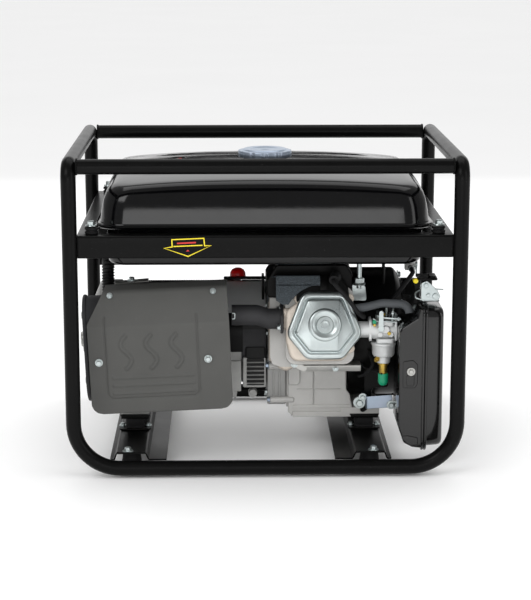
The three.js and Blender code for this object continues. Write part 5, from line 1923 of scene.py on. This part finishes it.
    def dipstick(self):
        low, high = span("oil_dipstick")
        x, _, z = middle("oil_dipstick")
        start = 96.3
        shape = Shape("black_plastic")
        shape.turned([(start, 3.6), (start, 13.6), (start + 1, 14.6), (start + 8.4, 14.6), (start + 10, 13.4),
                      (start + 11.6, 10), (start + 11.6, 0.4)], (x, 0, z), "Y", 48)
        shape.slab(rounded([(x - 3.8, z - 11), (x + 3.8, z - 11), (x + 3.8, z + 11), (x - 3.8, z + 11)], 3,
                           4),
                   start + 10, high.y, "Y", 1.4)
        shape.use("steel")
        shape.turned([(low.y, 0.4), (low.y, 2.6), (low.y + 1, 3.3), (start + 1, 3.3), (start + 1, 0.4)],
                     (x, 0, z), "Y", 20)
        piece("dipstick_cap", shape, "dipstick", ["oil_dipstick"])
        rib = Shape("black_plastic")
        rib.slab(rectangle(x - 0.9, x + 0.9, z + 13.6, z + 14.9, 0.3, 1), start + 1.4, start + 8, "Y", 0.2)
        turn = (0, math.radians(12), 0)
        settle(wheel(bare("dipstick_ribs", rib), 30, (x, 0, z), turn, "black_plastic"), "dipstick")


# ---- panel ----
class GENERATOR_OT_panel(bpy.types.Operator):
    """Control panel: folded box, front plate, sockets, lids, switch, breaker and terminals"""
    bl_idname = "generator.panel"
    bl_label = "Control panel"

    def execute(self, context):
        self.low, self.high = span("control_panel_plate")
        self.face = span("control_panel_box")[1].y + 2.8
        self.box()
        self.plate()
        self.lids()
        self.controls()
        self.meter()
        return {"FINISHED"}

    def box(self):
        low, high = span("control_panel_box")
        shape = Shape("frame_paint")
        profile = [(high.y - 0.8, low.z + 1), (low.y + 1, low.z + 1), (low.y + 1, high.z - 1),
                   (high.y - 0.8, high.z - 1)]
        shape.slab(folded(profile, 2, 4, 5), low.x, high.x, "X", 0.4, 1)
        for x in (low.x, high.x - 2):
            shape.slab(rectangle(low.y + 2, high.y - 1, low.z + 2, high.z - 2, 3, 3), x, x + 2, "X", 0.4)
        piece("panel_tray", shape, "root", ["control_panel_box"])

    def plate(self):
        low, high = self.low, self.high
        shape = Shape("black_plastic")
        shape.slab(rectangle(low.x, high.x, low.z, high.z, 6, 6), low.y, self.face, "Y", 0.7)
        for x in (middle("socket_lid_left").x, middle("socket_lid_right").x):
            z = middle("engine_switch").z - 3
            shape.turned([(self.face - 0.6, 27), (self.face + 8, 27), (self.face + 10.6, 25.6),
                          (high.y, 24.6),
                          (high.y, 22.8), (high.y - 1, 22), (self.face + 2, 22), (self.face + 2, 0.4),
                          (self.face - 0.6, 0.4)], (x, 0, z), "Y", 56, closed=True)
            for dx, dz in ((-9.5, 0), (9.5, 0), (0, 10)):
                shape.turned([(self.face + 1.6, 0.4), (self.face + 1.6, 3.4), (self.face + 2.5, 3),
                              (self.face + 2.5, 2.2),
                              (self.face + 1.8, 2), (self.face + 1.8, 0.4)], (x + dx, 0, z + dz), "Y", 20)
        piece("panel_front_plate", shape, "root", ["control_panel_plate"])
        heads = []
        for x in (low.x + 9, -60, 170, high.x - 9):
            for z in (low.z + 8, high.z - 8):
                heads.append(((x, self.face, z), (0, 1, 0), 6.5))
        fasteners("panel_screws", heads, "zinc", sides=20, height=0.35)

    def lids(self):
        for side in ("left", "right"):
            node = f"socket_lid_{side}"
            low, high = span(node)
            x = (low.x + high.x) / 2
            z = low.z + 26
            face = low.y + 4
            shape = Shape("black_plastic")
            shape.turned([(low.y, 0.4), (low.y, 25.4), (low.y + 0.6, 26), (face - 1.4, 26), (face - 0.2, 25),
                          (face - 0.2, 19), (face - 1, 18), (face - 1, 14), (face, 13), (face, 0.4)],
                         (x, 0, z), "Y", 56)
            shape.slab(rectangle(x - 9.8, x + 9.8, z + 18, high.z - 3, 2, 3), low.y, face, "Y", 0.6)
            shape.slab(rectangle(x - 6, x + 6, low.z, low.z + 6, 2, 3), low.y + 0.4, face + 0.6, "Y", 0.6)
            shape.rod((x - 12, low.y + 3.4, high.z - 3.4), (x + 12, low.y + 3.4, high.z - 3.4), 3.3, 0.5, 24)
            piece(f"lid_{side}_moulding", shape, f"lid_{side}", [node])

    def controls(self):
        low, high = span("engine_switch")
        shape = Shape("red_plastic")
        rocker = rounded([(low.y, low.z), (low.y + 9, low.z), ((low.y + 6.6, low.z + 12), 4),
                          (low.y + 13, high.z), (low.y, high.z)], 0.9, 3)
        shape.slab(rocker, low.x, high.x, "X", 0.7)
        shape.use("white_print")
        x = (low.x + high.x) / 2
        shape.slab(rectangle(x - 0.5, x + 0.5, low.z + 3, low.z + 8, 0.3, 2), low.y + 8.4, low.y + 9, "Y",
                   0.1)
        piece("switch_rocker", shape, "switch", ["engine_switch"])
        shape = Shape("black_plastic")
        frame_edge = rectangle(low.x - 8, high.x + 8, low.z - 9, high.z + 10, 3, 4)
        hole = rectangle(low.x - 3.4, high.x + 3.4, low.z - 5.4, high.z + 5.4, 1.6, 4)
        loops = [[Vector((p.x, y, p.y)) for p in line] for line, y in (
            (frame_edge, self.face - 0.4), (inset(frame_edge, 0.2), self.face + 1.4),
            (inset(frame_edge, 1), self.face + 2.2),
            (inset(hole, -0.6), self.face + 2.2), (hole, self.face + 1.6), (hole, self.face - 0.4))]
        shape.rings(loops, closed=True)
        piece("switch_bezel", shape, "root")
        low, high = span("circuit_breaker")
        y, z = low.y + 7, middle("engine_switch").z - 3
        shape = Shape("black_plastic")
        shape.rod((194, 246, z), (206, 246, z), 6.9, 0.5, 32)
        shape.slab(rounded([(246, z - 1), (high.y, z), (high.y, z + 5), (246, z + 6)], 1.2, 3), 196.2, 203.8,
                   "X", 0.8)
        piece("breaker_toggle", shape, "breaker", ["circuit_breaker"])

    def meter(self):
        """A voltmeter, an earth terminal and a direct-current pair."""
        x, z = -240, (self.low.z + self.high.z) / 2
        shape = Shape("black_plastic")
        shape.turned([(self.face - 0.4, 30), (self.face + 4, 30), (self.face + 5.6, 28.6),
                      (self.face + 5.6, 26),
                      (self.face + 3, 25.4), (self.face - 0.4, 25.4)], (x, 0, z), "Y", 64, closed=True)
        shape.use("white_print")
        shape.turned([(self.face, 0.4), (self.face, 25.6), (self.face + 1.6, 25.6), (self.face + 1.6, 0.4)],
                     (x, 0, z), "Y", 48)
        shape.use("red_print")
        shape.tube([(x, self.face + 2.6, z - 12), (x + 9, self.face + 2.6, z + 12)], 0.6, 8)
        shape.use("black_plastic")
        for k in range(9):
            t = math.radians(35 + 13.75 * k)
            one = Vector((x + 19 * math.cos(t), self.face + 1.8, z - 6 + 24 * math.sin(t)))
            two = Vector((x + 16 * math.cos(t), self.face + 1.8, z - 6 + 20 * math.sin(t)))
            shape.tube([one, two], 0.45, 6)
        piece("voltmeter", shape, "root")
        shape = Shape("steel")
        for px, colour_name in ((-20, "red_plastic"), (4, "black_plastic"), (250, "zinc")):
            shape.use(colour_name)
            shape.turned([(self.face - 0.4, 0.4), (self.face - 0.4, 8.6), (self.face + 1, 9),
                          (self.face + 9, 8.4),
                          (self.face + 10, 7), (self.face + 10, 0.4)], (px, 0, z), "Y", 24)
            shape.use("brass")
            shape.rod((px, self.face + 9, z), (px, self.face + 12, z), 3, 0.5, 20)
        piece("panel_terminals", shape, "root")


class GENERATOR_OT_label(bpy.types.Operator):
    """Plain printed arrow on the near apron"""
    bl_idname = "generator.label"
    bl_label = "Arrow label"

    def execute(self, context):
        front = span("tank_support_frame")[0].y
        arrow = [Vector(p) for p in ((-158.7, 418.8), (-104.6, 421), (-103.4, 408), (-92, 408.7),
                                     (-131.4, 390), (-172, 404.2), (-158.2, 406.4))]
        shape = Shape("yellow_print")
        outer = inset(arrow, -0.9)
        inner = inset(arrow, 0.9)
        self.ring(shape, outer, inner, front)
        shape.slab([Vector(p) for p in ((-156, 406.2), (-107, 408.2), (-107, 410), (-156, 408))],
                   front - 0.2, front, "Y", 0.02, 1)
        shape.use("red_print")
        shape.slab([Vector(p) for p in ((-150, 411.2), (-118, 412.6), (-118, 415), (-150, 413.6))],
                   front - 0.2, front, "Y", 0.02, 1)
        shape.slab([Vector(p) for p in ((-135, 398.4), (-129, 398.8), (-131.8, 401.6))],
                   front - 0.2, front, "Y", 0.02, 1)
        piece("arrow_label", shape, "root")
        return {"FINISHED"}

    def ring(self, shape, outer, inner, front):
        loops = []
        for outline, y in ((outer, front), (outer, front - 0.25), (inner, front - 0.25), (inner, front)):
            loops.append([Vector((p.x, y, p.y)) for p in outline])
        shape.rings(loops, closed=True)


# ---- add-on ----
STEPS = (
    GENERATOR_OT_stage, GENERATOR_OT_finishes, GENERATOR_OT_frame, GENERATOR_OT_base,
    GENERATOR_OT_tank, GENERATOR_OT_exhaust, GENERATOR_OT_castings, GENERATOR_OT_rocker,
    GENERATOR_OT_carburettor, GENERATOR_OT_intake, GENERATOR_OT_hoses, GENERATOR_OT_alternator,
    GENERATOR_OT_starter, GENERATOR_OT_panel, GENERATOR_OT_label,
)


class GENERATOR_PT_sidebar(bpy.types.Panel):
    """Sizes, colours and the steps that build the generator"""
    bl_idname = "GENERATOR_PT_sidebar"
    bl_label = "Open-frame generator"
    bl_space_type = "VIEW_3D"
    bl_region_type = "UI"
    bl_category = "Generator"

    def draw(self, context):
        for group in (context.scene.generator_sizes, context.scene.generator_colours):
            for name in group.__annotations__:
                self.layout.prop(group, name)
        for step in STEPS:
            self.layout.operator(step.bl_idname)


CLASSES = (GeneratorColours, GeneratorSizes, *STEPS, GENERATOR_PT_sidebar)


def register():
    for kind in CLASSES:
        bpy.utils.register_class(kind)
    bpy.types.Scene.generator_sizes = PointerProperty(type=GeneratorSizes)
    bpy.types.Scene.generator_colours = PointerProperty(type=GeneratorColours)


def unregister():
    del bpy.types.Scene.generator_colours
    del bpy.types.Scene.generator_sizes
    for kind in reversed(CLASSES):
        bpy.utils.unregister_class(kind)


def main():
    register()
    for step in STEPS:
        group, name = step.bl_idname.split(".")
        getattr(getattr(bpy.ops, group), name)()


if __name__ == "__main__":
    main()
